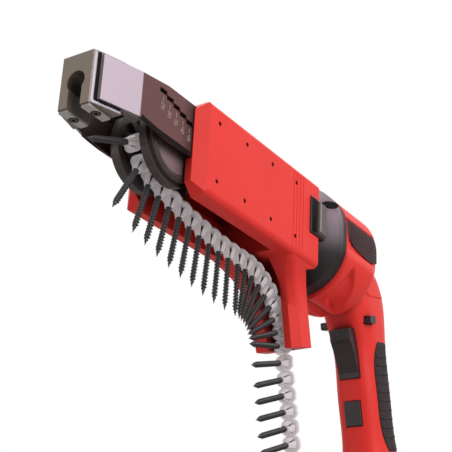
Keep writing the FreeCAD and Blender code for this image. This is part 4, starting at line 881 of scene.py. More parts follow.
@dataclass
class ScrewStrip:
    """The collated strip: screws with threads and drives, and the moulded band that holds them.

    recess, bugle and collar hold radius and depth, and tab holds a share of the tab's reach and depth.
    """

    pitch: float = 10.4
    teeth: int = 9
    sprocket: Span = (140.5, -6.7)
    on_deck: float = 20.7
    leave: float = 71.6
    sag: float = 320.6
    bend: float = 60.0
    droop: float = 7.6
    length: float = 45.0
    core: float = 1.2
    crest: float = 2.05
    lead: float = 2.1
    flank: float = 3.4
    neck: float = 1.0
    shank: float = 9.0
    run_in: float = 1.5
    taper: float = 6.0
    blunt: float = 0.02
    facets: int = 16
    rings_per_turn: int = 8
    cross_waist: float = 0.45
    half_width: float = 6.6
    tab_reach: float = 5.4
    tab_points: int = 24
    squareness: int = 5
    shingle: float = 1.1
    notch: float = 0.24
    notch_ramp: Span = (2.5, 1.2)
    petals: int = 4
    slit: Span = (15.0, 5.0)
    slit_turn: float = 38.0
    travel: float = 41.6
    gather_at: float = 43.0
    recess: Table = ((0.8, 2.0), (1.7, 0.35), (1.9, 0.02))
    bugle: Table = (
        (2.3, 0.02), (3.85, 0.0), (4.1, 0.25), (4.1, 0.7), (3.1, 1.5), (2.3, 2.6), (1.85, 3.8), (1.55, 5.0))
    tab: Table = ((0.55, 3.4), (0.84, 3.0), (0.92, 2.4), (0.98, 2.4), (1.0, 3.2), (0.95, 3.7), (0.5, 3.9))
    collar: Table = (
        (4.4, 3.5), (4.2, 5.4), (3.2, 8.4), (2.5, 10.4), (1.9, 10.4), (2.5, 8.2), (3.4, 5.4), (3.7, 3.5))
    sections: Tuple[Tuple[str, int, int], ...] = (("front", 0, 3), ("middle", 4, 11), ("rear", 12, 29))

    @staticmethod
    def pointing(angle: float) -> Vector:
        """Direction in the middle plane, an angle in degrees below forward, as drive x and z."""
        return Vector((math.cos(math.radians(angle)), 0.0, -math.sin(math.radians(angle))))

    def place(self, run: float) -> Spot:
        """Head point and pointing direction of the screw a given run along the strip.

        Args:
            run: distance along the strip from the first screw.

        Returns:
            The head's top and the direction to the tip, in the drive frame in millimetres.
        """
        middle = Vector((self.sprocket[0], 0.0, self.sprocket[1]))
        radius = self.pitch / 2 / math.sin(math.pi / self.teeth)
        angle = self.on_deck + math.degrees(run / radius)
        if angle <= self.leave:
            return middle + self.pointing(angle) * radius, self.pointing(angle)
        run -= math.radians(self.leave - self.on_deck) * radius
        centre = middle + self.pointing(self.leave) * (radius - self.sag)
        angle = self.leave + math.degrees(run / self.sag)
        if angle <= 90:
            return centre + self.pointing(angle) * self.sag, self.pointing(angle)
        run -= math.radians(90 - self.leave) * self.sag
        centre = centre + self.pointing(90) * (self.sag + self.bend)
        turn = min(math.degrees(run / self.bend), 90 - math.degrees(TILT))
        head = centre - self.pointing(90 - turn) * self.bend
        run = max(run - math.radians(turn) * self.bend, 0.0)
        down = Vector((-math.sin(TILT), 0.0, -math.cos(TILT)))
        settle = min(run / (2 * self.pitch), 1.0)
        return head + down * run, self.pointing(90 - turn + settle * self.droop)

    def at(self, head: Vector, direction: Vector, depth: float, radius: float, angle: float) -> Vector:
        """A point round a screw's axis, in scene metres.

        Args:
            head: top of the head in the drive frame.
            direction: direction to the tip in the drive frame.
            depth: distance below the top.
            radius: distance from the axis.
            angle: angle round the axis in radians.

        Returns:
            The point in metres.
        """
        side = Vector((direction.z, 0.0, -direction.x))
        point = head + direction * depth
        point = point + side * (radius * math.cos(angle)) + ACROSS * (radius * math.sin(angle))
        return drive(*point)

    def thread(self, depth: float, angle: float) -> float:
        """Radius of the screw's body: a coarse thread on a core that tapers to the tip.

        Args:
            depth: distance below the head's top.
            angle: angle round the axis in radians.

        Returns:
            The radius.
        """
        narrow = held((self.length - depth) / self.taper)
        phase = (depth / self.lead - angle / math.tau) % 1.0
        tooth = max(0.0, 1.0 - abs(phase - 0.5) * self.flank)
        grown = held((depth - self.shank) / self.run_in)
        return (self.core + (self.crest - self.core) * tooth * grown) * narrow + self.blunt

    def screws(self, first: int, last: int) -> Sculpt:
        """A run of screws with crossed recesses and coarse threads.

        Args:
            first: number of the first screw.
            last: number of the last screw.

        Returns:
            Their points and faces.
        """
        sculpt = Sculpt()
        turns = around(self.facets)
        cross = [self.cross_waist + (1 - self.cross_waist) * abs(math.cos(2 * turn)) for turn in turns]
        for number in range(first, last + 1):
            head, way = self.place(number * self.pitch)
            rows = [(depth, [radius * part for part in cross]) for radius, depth in self.recess]
            rows += [(depth, [radius] * self.facets) for radius, depth in self.bugle]
            depth = self.bugle[-1][1] + self.neck
            while depth < self.length:
                rows.append((depth, [self.thread(depth, turn) for turn in turns]))
                depth += self.lead / self.rings_per_turn
            sculpt.rings([
                [self.at(head, way, depth, radius, turn) for radius, turn in zip(radii, turns)]
                for depth, radii in rows
            ])
        return sculpt

    def band(self, first: int, last: int) -> Sculpt:
        """A run of the moulded band: shingled tabs with slit conical collars.

        Args:
            first: number of the first screw.
            last: number of the last screw.

        Returns:
            Its points and faces.
        """
        sculpt = Sculpt()
        shares = steps(0.0, 1.0, count=6)
        for number in range(first, last + 1):
            head, way = self.place(number * self.pitch)
            sculpt.rings([self.tab_ring(head, way, share, depth) for share, depth in self.tab])
            for petal in range(self.petals):
                sculpt.rings([self.petal_ring(head, way, petal, share) for share in shares])
        return sculpt

    def tab_ring(self, head: Vector, way: Vector, share: float, depth: float) -> Ring:
        """One ring of a tab, squarish and notched at its sides.

        Args:
            head: top of the screw's head in the drive frame.
            way: direction to the tip in the drive frame.
            share: share of the tab's full reach.
            depth: distance below the head's top.

        Returns:
            The ring's points in metres.
        """
        side = Vector((way.z, 0.0, -way.x))
        steep, start = self.notch_ramp
        ring = []
        for turn in around(self.tab_points):
            square = abs(math.cos(turn)) ** self.squareness + abs(math.sin(turn)) ** self.squareness
            reach = square ** (-1 / self.squareness)
            along = reach * math.cos(turn) * share * self.tab_reach
            across = reach * math.sin(turn) * share * self.half_width
            along *= 1.0 - self.notch * held(steep * abs(across) / self.half_width - start)
            sunk = depth + self.shingle * along / self.tab_reach
            ring.append(drive(*(head + way * sunk + side * along + ACROSS * across)))
        return ring

    def petal_ring(self, head: Vector, way: Vector, petal: int, share: float) -> Ring:
        """One section of a collar's petal.

        Args:
            head: top of the screw's head in the drive frame.
            way: direction to the tip in the drive frame.
            petal: number of the petal.
            share: share of the way across the petal.

        Returns:
            The section's points in metres.
        """
        each = 360 / self.petals
        top, foot = self.collar[0][1], max(depth for _, depth in self.collar)
        ring = []
        for radius, depth in self.collar:
            gap = self.slit[0] + (self.slit[1] - self.slit[0]) * (depth - top) / (foot - top)
            turn = self.slit_turn + each * petal + gap + (each - 2 * gap) * share
            ring.append(self.at(head, way, depth, radius, math.radians(turn)))
        return ring

    def gathered(self, piece: bpy.types.Object, first: int) -> None:
        """Give the run between carriage and chute a mesh of its own.

        Args:
            piece: the run's piece.
            first: number of its first screw.
        """
        front = self.place((first - 0.5) * self.pitch)[0].x
        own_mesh(piece)

    def build(self) -> None:
        """Make the screws and the band in three runs."""
        for part, first, last in self.sections:
            body = Body.CARRIAGE if part == "front" else Body.GUN
            screws = self.screws(first, last).piece(f"threaded_screws_{part}", SCREW, body, smooth=55.0)
            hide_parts(f"screws_{part}")
            band = self.band(first, last).piece(f"moulded_band_{part}", STRIP, body)
            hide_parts(f"strip_{part}")
            if part == "middle":
                self.gathered(screws, first)
                self.gathered(band, first)


@dataclass
class Coil:
    """A compression spring wound along a direction."""

    name: str
    node: str
    start: Vector
    way: Vector
    length: float
    radius: float
    wire: float
    turns: int
    facets: int = 24
    wire_facets: int = 8

    def build(self, joint: str, keep: float) -> None:
        """Wind the spring.

        Args:
            joint: not used.
            keep: not used.
        """
        above = self.way.cross(ACROSS)
        count = self.turns * self.facets
        half = self.wire / 2
        rings: List[Ring] = []
        for step in range(count + 1):
            angle = self.turns * math.tau * step / count
            out = ACROSS * math.cos(angle) + above * math.sin(angle)
            run = half + (self.length - self.wire) * step / count
            middle = self.start + self.way * run * MM + out * self.radius * MM
            rings.append([
                middle + (out * math.cos(turn) + self.way * math.sin(turn)) * half * MM
                for turn in around(self.wire_facets)
            ])
        piece = Sculpt().rings(rings).piece(self.name, SPRING, Body.GUN)
        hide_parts(self.node)
        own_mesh(piece)


@dataclass
class Magazine:
    """Magazine housing with its chute, its screws, release buttons and return spring.

    leg_front holds the chute's front line and its slant, web_levels height and half width, and
    web_curve the points of the web's rounded corner, with what the flare takes off them.
    """

    half_width: float = 29.0
    rib_places: Tuple[float, ...] = (15.5, 19.5, 23.5, 27.5)
    rib_span: Span = (-33.5, 20.0)
    rib_size: Span = (0.7, 0.25)
    button_face: float = 30.5
    button_shade_well: Window = (0.6, 6.0, -14.6, 9.8)
    well_rise: float = 0.12
    button_pad: Window = (-10.9, -0.4, -14.4, 9.4)
    pad_rise: float = 1.6
    edge_inset: float = 2.1
    edge_trim: float = 2.0
    edge_size: Span = (0.9, 0.15)
    leg_rear: float = 102.7
    leg_front: Dict[Side, Span] = field(default_factory=lambda: {
        Side.LEFT: (119.8, 0.0), Side.RIGHT: (134.3, 0.25)})
    web_levels: Table = (
        (-34.5, 27.4), (-37.0, 26.4), (-39.5, 24.6), (-42.5, 22.4), (-46.0, 20.3), (-50.0, 18.6),
        (-55.0, 17.5), (-61.0, 17.05), (-64.0, 17.05))
    web_flare: float = 20.0
    web_inner: float = 9.5
    web_lip: float = 0.5
    web_heel: float = 2.0
    web_tuck: float = 1.5
    web_shelf: float = -38.0
    web_rear: float = -5.0
    web_round: float = 5.0
    web_sharpen: float = 0.3
    web_curve: Table = ((0.667, 0.117, 0.333, 0.053), (0.333, 0.133, 0.667, 0.067))
    spring_start: float = 22.3
    spring_length: float = 67.4
    spring_travel: float = 41.6

    def side_ribs(self, side: Side) -> None:
        """Fine upright ribs near the rear of a side.

        Args:
            side: side of the tool.
        """
        sculpt = Sculpt()
        y = side.value * self.half_width
        for x in self.rib_places:
            line = [(drive(x, y, z), side.out) for z in steps(*self.rib_span, count=6)]
            sculpt.ribbon(line, *self.rib_size)
        sculpt.piece(f"magazine_ribs_{side.word}", RED, Body.GUN)

    def button_grip(self, side: Side) -> None:
        """Painted shade as a dark well at the front of a release button, the raised thumb pad behind it,
        and a painted highlight along the pad's front edge.

        Args:
            side: side of the tool.
        """
        body = Body(f"release_{side.word}")
        y = side.value * self.button_face
        for name, (rear, front, low, high), rise, finish in (
                ("shade_well", self.button_shade_well, self.well_rise, PAINTED_SHADE),
                ("pad", self.button_pad, self.pad_rise, BUTTON_FACE)):
            corners = ((rear, low), (front, low), (front, high), (rear, high))
            sculpt = Sculpt().slab([drive(x, y, z) for x, z in corners], side.out, rise, rise)
            sculpt.piece(f"release_{name}_{side.word}", finish, body)
        _, front, low, high = self.button_pad
        x = front - self.edge_inset
        y = side.value * (self.button_face + self.pad_rise)
        levels = steps(low + self.edge_trim, high - self.edge_trim, count=6)
        edge = Sculpt().ribbon([(drive(x, y, z), side.out) for z in levels], *self.edge_size)
        edge.piece(f"release_edge_{side.word}", PAINTED_HIGHLIGHT, body)

    def leg_line(self, x: float, z: float) -> float:
        """Place along the drive axis of an upright line of the chute.

        Args:
            x: the line's place in the standing frame.
            z: height above the drive axis.

        Returns:
            The distance ahead of the joint.
        """
        ahead = x - JOINT.x / MM
        return ahead * math.cos(TILT) + (z + ahead * math.sin(TILT)) * math.tan(TILT)

    def chute_web(self, side: Side) -> None:
        """Flared web that carries a side of the housing down into the chute.

        Args:
            side: side of the tool.
        """
        top, bottom = self.web_levels[0][0], self.web_levels[-1][0]
        front_line, slant = self.leg_front[side]
        rings: List[Ring] = []
        for z, y in self.web_levels:
            share = ((z - bottom) / (top - bottom)) ** 2
            rear = self.leg_line(self.leg_rear, z) + self.web_tuck * (y - self.web_levels[-1][1])
            rear = self.web_rear if z > self.web_shelf else rear
            front = self.leg_line(front_line + slant * (z - top), z) + self.web_flare * share
            soft = self.web_round * (1 - self.web_sharpen * share)
            section = [(x, y) for x in steps(rear, front - soft, count=5)]
            for back, back_less, inward, inward_less in self.web_curve:
                x = front - (back - back_less * share) * soft
                section.append((x, y - (inward - inward_less * share) * soft))
            section.append((front, y - soft))
            section += [(front - self.web_lip, self.web_inner), (rear + self.web_heel, self.web_inner)]
            rings.append([drive(x, side.value * reach, z) for x, reach in section])
        Sculpt().rings(rings).piece(f"chute_web_{side.word}", RED, Body.GUN, smooth=50.0)

    def build(self) -> None:
        """Dress the housing and put the finer pieces on it."""
        dress({RED: both("magazine_shell"), FASTENER: ("magazine_screws",), BUTTON: both("release_button")})
        for side in Side:
            self.side_ribs(side)
            self.button_grip(side)
            self.chute_web(side)
        coil = Coil("wound_return_spring", "return_spring", drive(self.spring_start, 0, 0), ALONG,
                    self.spring_length, radius=10.6, wire=1.8, turns=10)
        coil.build("nose_slide", 1 - self.spring_travel / self.spring_length)


@dataclass
class Scale:
    """A plain scale of screw lengths: short lines and numbers in strokes."""

    digit_height: float = 2.6
    digit_width: float = 1.5
    spacing: float = 1.5
    stroke: float = 0.42
    proud: float = 0.06
    strokes: Dict[str, str] = field(default_factory=lambda: {
        "0": "abcdef", "2": "abged", "3": "abgcd", "4": "fgbc", "5": "afgcd",
    })

    def bar(self, sculpt: Sculpt, first: Vector, last: Vector, up: Vector) -> None:
        """One straight stroke."""
        sculpt.ribbon([(first, up), (last, up)], self.stroke, self.proud)

    def number(self, sculpt: Sculpt, text: str, corner: Vector,
               right: Vector, top: Vector, up: Vector) -> None:
        """One number in strokes.

        Args:
            sculpt: where the strokes go.
            text: digits of the number.
            corner: lower left corner of the first digit.
            right: reading direction.
            top: direction to the digits' tops.
            up: direction out of the surface.
        """
        wide = right * self.digit_width * MM
        high = top * self.digit_height * MM
        for place, digit in enumerate(text):
            foot = corner + wide * self.spacing * place
            middle = foot + high / 2
            ends = {
                "a": (foot + high, foot + high + wide), "b": (foot + high + wide, middle + wide),
                "c": (middle + wide, foot + wide), "d": (foot, foot + wide), "e": (foot, middle),
                "f": (middle, foot + high), "g": (middle, middle + wide),
            }
            for stroke in self.strokes[digit]:
                self.bar(sculpt, *ends[stroke], up)


@dataclass
class Nose:
    """Foot, wear pads and side plates of the sliding nose.

    edges holds name, finish, inset and width, and a screw's gap, rim and socket start with a radius.
    """

    plate_face: float = 21.3
    shade_sheet_face: float = 19.7
    shade_sheet_thick: float = 0.15
    shade_sheet_span: Window = (122.0, 168.0, 0.6, 15.0)
    shade_sheet_cut: Span = (20.0, 6.0)
    lengths: Tuple[str, ...] = ("25", "30", "35", "40", "45", "50")
    first_mark: float = 160.5
    mark_step: float = 6.5
    mark_top: float = 9.6
    mark_drop: float = 2.0
    mark_gap: float = 1.0
    tick: float = 3.2
    foot_front: float = 210.0
    foot_knee: float = 205.0
    foot_tip: float = 10.6
    foot_slopes: Span = (0.42, 0.27)
    foot_top: float = 16.2
    foot_low: float = -15.5
    foot_rise: float = 0.62
    foot_rear: float = 190.6
    # A painted highlight along the foot's edge, and painted shade in the step behind it.
    edges: Tuple[Tuple[str, Finish, float, float], ...] = (
        ("bright", PAINTED_HIGHLIGHT, 1.6, 1.7), ("dark", PAINTED_SHADE, 3.7, 2.2))
    edge_height: float = 0.2
    edge_above: float = 1.0
    edge_corner: Table = ((0.25, 0.3), (0.9, 0.0))
    edge_behind: float = 1.8
    hem: Table = ((132.0, -13.55), (150.0, -13.5), (163.0, -13.3), (171.0, -12.5), (178.0, -11.6))
    hem_sink: float = 0.02
    hem_size: Span = (2.9, 0.14)
    screw_place: Point = (200.0, 7.8, -17.2)
    screw_gap: Trio = (2.6, 0.7, 0.08)
    screw_rim: Trio = (1.8, 0.8, 0.3)
    screw_socket: Trio = (1.25, 0.12, 0.1)

    def foot_side(self, x: float, z: float, side: Side) -> Spot:
        """A point on the foot's bent side and the direction out of it.

        Args:
            x: place along the drive axis.
            z: height above the drive axis.
            side: side of the tool.

        Returns:
            The point in metres and the direction.
        """
        near, far = self.foot_slopes
        y = self.foot_tip + near * (self.foot_front - max(x, self.foot_knee))
        y += far * max(self.foot_knee - x, 0.0)
        slope = near if x >= self.foot_knee else far
        return drive(x, side.value * y, z), (ALONG * slope + side.out).normalized()

    def foot_edges(self, side: Side) -> None:
        """A painted highlight round the foot's side edge and painted shade in the step between it and the
        plate.

        Args:
            side: side of the tool.
        """
        for name, finish, inset, width in self.edges:
            x = self.foot_front - inset
            low = self.foot_low + self.foot_rise * inset
            places = [(x, z) for z in steps(self.foot_top, low + self.edge_above, count=8)]
            places += [(x - back, low + up) for back, up in self.edge_corner]
            places += [(run, low) for run in steps(x - self.edge_behind, self.foot_rear, count=10)]
            line = [self.foot_side(run, z, side) for run, z in places]
            sculpt = Sculpt().ribbon(line, width, self.edge_height)
            sculpt.piece(f"foot_edge_{name}_{side.word}", finish, Body.NOSE)

    def plate_hem(self, side: Side) -> None:
        """Painted shade as a dark hem along a plate's lower edge.

        Args:
            side: side of the tool.
        """
        y = side.value * (self.plate_face - self.hem_sink)
        sculpt = Sculpt().ribbon([(drive(x, y, z), side.out) for x, z in self.hem], *self.hem_size)
        sculpt.piece(f"plate_hem_{side.word}", PAINTED_SHADE, Body.NOSE)

    def screw_ring(self, side: Side, radius: float, count: int) -> List[Spot]:
        """Points round a wear pad's screw.

        Args:
            side: side of the tool.
            radius: distance from the screw's axis.
            count: number of points.

        Returns:
            The points with the direction out of the pad.
        """
        x, y, z = self.screw_place
        places = [(radius * math.cos(turn), radius * math.sin(turn)) for turn in around(count)]
        return [(drive(x + ahead, side.value * y + left, z), -ABOVE) for ahead, left in places]

    def pad_screw(self, side: Side) -> None:
        """Bright rim of a wear pad's screw, with painted shade as its dark socket and the dark gap round
        it.

        Args:
            side: side of the tool.
        """
        radius, *size = self.screw_gap
        dark = Sculpt().ribbon(self.screw_ring(side, radius, count=24), *size, loop=True)
        radius, *size = self.screw_socket
        dark.slab([point for point, _ in self.screw_ring(side, radius, count=6)], -ABOVE, *size)
        dark.piece(f"pad_socket_{side.word}", PAINTED_SHADE, Body.NOSE)
        radius, *size = self.screw_rim
        bright = Sculpt().ribbon(self.screw_ring(side, radius, count=24), *size, loop=True)
        bright.piece(f"pad_screw_rim_{side.word}", FASTENER, Body.NOSE)

    def liner(self, side: Side) -> None:
        """Painted shade as a dark sheet behind a plate's length notches.

        Args:
            side: side of the tool.
        """
        rear, front, low, high = self.shade_sheet_span
        run, drop = self.shade_sheet_cut
        y = side.value * self.shade_sheet_face
        outline = [(rear, low), (rear + run, low), (front, high - drop), (front, high), (rear, high)]
        faces = (y, y - side.value * self.shade_sheet_thick)
        sculpt = Sculpt().rings([[drive(x, face, z) for x, z in outline] for face in faces])
        sculpt.piece(f"notch_liner_{side.word}", PAINTED_SHADE, Body.NOSE)

    def scale(self, side: Side) -> None:
        """Screw lengths beside a plate's notches.

        Args:
            side: side of the tool.
        """
        sculpt = Sculpt()
        marks = Scale()
        y = side.value * self.plate_face
        for step, text in enumerate(self.lengths):
            x = self.first_mark - step * self.mark_step
            z = self.mark_top - step * self.mark_drop
            marks.bar(sculpt, drive(x, y, z), drive(x, y, z - self.tick), side.out)
            corner = drive(x + side.value * marks.digit_height / 2, y, z - self.tick - self.mark_gap)
            marks.number(sculpt, text, corner, -ABOVE, ALONG * -side.value, side.out)
        sculpt.piece(f"length_scale_{side.word}", MARKING, Body.NOSE)

    def build(self) -> None:
        """Dress the nose and mark its plates."""
        dress({NOSE_GREY: ("nose_foot",), WEAR_PAD: ("foot_pads",), FASTENER: ("foot_screws",),
               PLATE: both("nose_plate")})
        for side in Side:
            self.liner(side)
            self.scale(side)
            self.foot_edges(side)
            self.plate_hem(side)
            self.pad_screw(side)


@dataclass
class FeedCarriage:
    """Carriage with the round cheeks and the split sprocket. rims holds radius, width and height."""

    hub: Span = (137.5, -8.0)
    face: float = 15.0
    roof: float = 5.2
    rims: Table = ((20.6, 2.2, 1.1), (22.4, 1.2, 0.5))
    disc: float = 19.2
    disc_size: Span = (0.35, 0.3)

    def rim(self, radius: float, side: Side) -> Ring:
        """Points round a cheek's face at a radius, up to its flat top.

        Args:
            radius: distance from the hub.
            side: side of the tool.

        Returns:
            The points in metres.
        """
        x, z = self.hub
        y = side.value * self.face
        rise = math.degrees(math.asin((self.roof - z) / radius))
        turns = arc(rise, -180 - rise, count=48)
        return [drive(x + radius * math.cos(turn), y, z + radius * math.sin(turn)) for turn in turns]

    def cheek(self, side: Side) -> None:
        """Stepped rims and the pale disc on a cheek's outer face.

        Args:
            side: side of the tool.
        """
        sculpt = Sculpt()
        for radius, width, height in self.rims:
            sculpt.ribbon([(point, side.out) for point in self.rim(radius, side)], width, height)
        sculpt.piece(f"cheek_rims_{side.word}", FEED_DARK, Body.CARRIAGE)
        cover = Sculpt().slab(self.rim(self.disc, side), side.out, *self.disc_size)
        cover.piece(f"cheek_disc_{side.word}", CHEEK_DISC, Body.CARRIAGE)

    def build(self) -> None:
        """Dress the carriage and step its cheeks."""
        dress({FEED_DARK: ("carriage_frame", *both("feed_cheek")), SPROCKET: both("sprocket")})
        for side in Side:
            self.cheek(side)


@dataclass
class Gun:
    """Gearcase, body shells, grip and controls.

    vent_low holds the vent field's lower edge by distance behind the joint, and vent_front and
    vent_rear how far its top falls, from where and over what run. scoop holds the crescent's front
    and rear by angle below the side. Panels, fairing and ribs of the handle are in the standing frame.
    """

    barrel: float = 33.52
    drop: float = 8.0
    seam_at: float = -34.0
    seam_size: Span = (2.0, 1.2)
    seam_points: int = 48
    vent_lift: float = 0.4
    vent_top: float = 11.5
    vent_front: Trio = (4.0, -41.0, 3.0)
    vent_rear: Trio = (2.5, -78.0, 1.6)
    vent_low: Table = (
        (38.0, 0.5), (39.0, -2.5), (41.0, -5.4), (45.0, -7.4), (50.0, -8.7), (60.0, -9.9), (70.0, -10.8),
        (75.0, -10.2), (78.0, -8.4), (79.6, -5.0))
    vent_hem: float = 0.4
    vent_rise: float = 0.35
    vent_ribs: int = 8
    vent_rib_foot: float = 0.3
    vent_rib: Span = (0.9, 0.5)
    cap_span: Span = (20.0, 62.0)
    cap_hem: float = 1.0
    cap_rise: float = 0.9
    cap_places: Tuple[float, ...] = (-36.0, -36.4, *steps(-37.0, -78.6, count=12), -79.3, -79.8)
    side_span: Span = (-34.6, -80.0)
    side_turns: Span = (-4.0, -88.0)
    side_grid: Tuple[int, int] = (57, 47)
    side_rise: float = 4.0
    side_ray: float = 12.0
    side_ease: Span = (16.0, 8.0)
    front_ease: Span = (2.5, 0.35)
    rear_ease: float = 9.0
    scoop: Table = (
        (22.0, -45.5, -46.0), (30.0, -43.8, -50.0), (40.0, -41.8, -56.0), (50.0, -40.8, -60.0),
        (60.0, -41.2, -62.5), (70.0, -46.0, -65.5), (76.0, -54.0, -66.5), (82.0, -66.0, -66.5))
    scoop_ease: float = 8.0
    scoop_round: float = 0.55
    scoop_depth: float = 0.9
    fairing_xs: Span = (-26.0, 62.0)
    fairing_zs: Span = (191.5, 250.0)
    fairing_step: float = 1.5
    fairing_reach: float = 11.0
    fairing_blur: float = 2.0
    fairing_width: float = 20.0
    fairing_fade: float = 8.0
    fairing_foot: float = 193.0
    fairing_inset: int = 4
    fairing_least: float = 0.1
    fairing_tuck: float = 0.2
    shell_least: float = 8.0
    barrel_rear: float = -86.0
    pocket: Point = (-20.5, 28.9, 15.0)
    pocket_out: Point = (0.71, 0.62, 0.33)
    pocket_ray: float = 20.0
    pocket_size: Span = (6.0, 3.4)
    pocket_rise: Span = (0.5, 0.4)
    grip_levels: Span = (92.0, 172.0)
    grip_back: float = -14.0
    grip_front: float = 8.0
    grip_taper: float = 0.35
    grip_rise: float = 0.7
    grip_rib: Span = (1.4, 0.6)
    panel_corner: Span = (-15.0, 204.0)
    panel_size: Span = (26.0, 20.0)
    panel_lean: float = 8.0
    panel_slope: float = 5.0
    panel_rise: float = 0.8
    back_levels: Span = (94.0, 170.0)
    back_half: float = 7.2
    back_rib: Span = (1.3, 0.5)
    trigger_levels: Span = (171.0, 180.5)
    trigger_half: float = 6.0
    trigger_rib: Span = (0.9, 0.5)
    spring_start: Point = (3.0, 0.0, 163.75)
    spring_length: float = 12.7
    spring_keep: float = 0.606

    def barrel_at(self, x: float, angle: float, side: Side, lift: float = 0.0) -> Spot:
        """A point round the barrel's two-centred section, and the direction out of it.

        Args:
            x: place along the drive axis.
            angle: angle in degrees from the side, upwards positive.
            side: side of the tool.
            lift: distance outside the barrel.

        Returns:
            The point in metres and the direction.
        """
        turn = math.radians(angle if side is Side.LEFT else 180.0 - angle)
        y, z = math.cos(turn), math.sin(turn)
        radius = self.barrel + lift
        point = drive(x, y * radius, z * radius - (self.drop if z < 0 else 0.0))
        return point, ACROSS * y + ABOVE * z

    def side_at(self, x: float, z: float, side: Side, lift: float) -> Spot:
        """A point on the barrel's side at a height, and the direction out of it.

        Args:
            x: place along the drive axis.
            z: height above the drive axis.
            side: side of the tool.
            lift: distance outside the barrel.

        Returns:
            The point in metres and the direction.
        """
        rise = max(z, 0.0) + min(z + self.drop, 0.0)
        y = math.sqrt((self.barrel + lift) ** 2 - rise ** 2)
        return drive(x, side.value * y, z), (side.out * y + ABOVE * rise).normalized()

    def barrel_trim(self) -> None:
        """Rubber seam behind the gearcase."""
        angles = steps(0, 360 - 360 / self.seam_points, self.seam_points)
        line = [self.barrel_at(self.seam_at, angle, Side.LEFT) for angle in angles]
        Sculpt().ribbon(line, *self.seam_size, loop=True).piece("barrel_seam", SOFT_BLACK, Body.GUN)

    def scooped(self, x: float, angle: float) -> float:
        """Share of the side's swelling that stands at a place, with the crescent scoop taken out of it.

        Args:
            x: place along the drive axis.
            angle: angle in degrees from the side, upwards positive.

        Returns:
            The share.
        """
        (upper, lower), (ahead, behind) = self.side_turns, self.side_span
        front, rear = (between(self.scoop, -angle, column) for column in (1, 2))
        (below_top, above_foot), (run, start) = self.side_ease, self.front_ease
        spread = min(1.0, (upper - angle) / below_top, (angle - lower) / above_foot)
        ends = min(1.0, (ahead - x) / run + start, (x - behind) / self.rear_ease)
        dip = 0.0
        if rear < x < front:
            hollow = math.sin(math.pi * (front - x) / (front - rear)) ** self.scoop_round
            dip = min(1.0, (front - rear) / self.scoop_ease) * hollow
        return eased(spread) * eased(ends) * (1.0 - self.scoop_depth * dip)

    def scooped_side(self, side: Side) -> None:
        """Flange and swelling low on a side of the barrel, with the crescent scoop between them.

        Args:
            side: side of the tool.
        """
        grid = []
        for angle in steps(*self.side_turns, self.side_grid[0]):
            line = []
            for x in steps(*self.side_span, self.side_grid[1]):
                point, up = self.barrel_at(x, angle, side)
                base, _ = hit(f"body_shell_{side.word}", point + up * self.side_ray * MM, -up)
                line.append((base, up * self.scooped(x, angle)))
            grid.append(line)
        Sculpt().skin(grid, self.side_rise).piece(f"scooped_side_{side.word}", RED, Body.GUN, smooth=60.0)

    def vents(self, side: Side) -> None:
        """Brown vent field with fine ribs.

        Args:
            side: side of the tool.
        """
        (front_drop, front, front_run), (rear_drop, rear, rear_run) = self.vent_front, self.vent_rear
        grid = []
        for behind in steps(self.vent_low[0][0], self.vent_low[-1][0], count=34):
            x = -behind
            low = between(self.vent_low, behind)
            high = self.vent_top - front_drop * max(0.0, (x - front) / front_run)
            high -= rear_drop * max(0.0, (rear - x) / rear_run)
            levels = [low] + steps(low + self.vent_hem, high - self.vent_hem, count=9) + [high]
            grid.append([self.side_at(x, z, side, self.vent_lift) for z in levels])
        sculpt = Sculpt().skin(grid, self.vent_rise)
        for column in range(1, self.vent_ribs + 1):
            sculpt.ribbon(lifted([row[column] for row in grid[2:-2]], self.vent_rib_foot), *self.vent_rib)
        sculpt.piece(f"vent_field_{side.word}", VENT, Body.GUN)

    def barrel_cap(self, side: Side) -> None:
        """Red cap over a vent field.

        Args:
            side: side of the tool.
        """
        low, high = self.cap_span
        angles = [low - self.cap_hem] + steps(low, high, count=9) + [high + self.cap_hem]
        lift = self.vent_lift
        grid = [[self.barrel_at(x, angle, side, lift) for angle in angles] for x in self.cap_places]
        Sculpt().skin(grid, self.cap_rise).piece(f"barrel_cap_{side.word}", RED, Body.GUN, smooth=50.0)

    def fairing_window(self, x: float, z: float) -> float:
        """Share of the filling that is laid at a place of the standing frame.

        Args:
            x: place ahead of the pack's middle.
            z: height above the floor.

        Returns:
            One beside the barrel's rear edge, falling to nothing away from it.
        """
        away = abs((stand(x, 0, z) - JOINT).dot(ALONG) / MM - self.barrel_rear)
        near = (self.fairing_width - away) / self.fairing_fade
        above = (z - self.fairing_foot) / self.fairing_fade
        return held(min(near, above))

    def inland(self, reach: Dict[Cell, Optional[float]], key: Cell) -> float:
        """Share of the filling that is laid near the shell's outline.

        Args:
            reach: how far out the shell stands at each row and column.
            key: row and column of the place.

        Returns:
            Nothing at the outline, rising to one within the shell.
        """
        for ring in range(1, self.fairing_inset + 1):
            square = range(-ring, ring + 1)
            near = [(key[0] + up, key[1] + on) for up in square for on in square]
            if any(reach.get(cell, 1.0) is None for cell in near):
                return (ring - 1) / self.fairing_inset
        return 1.0

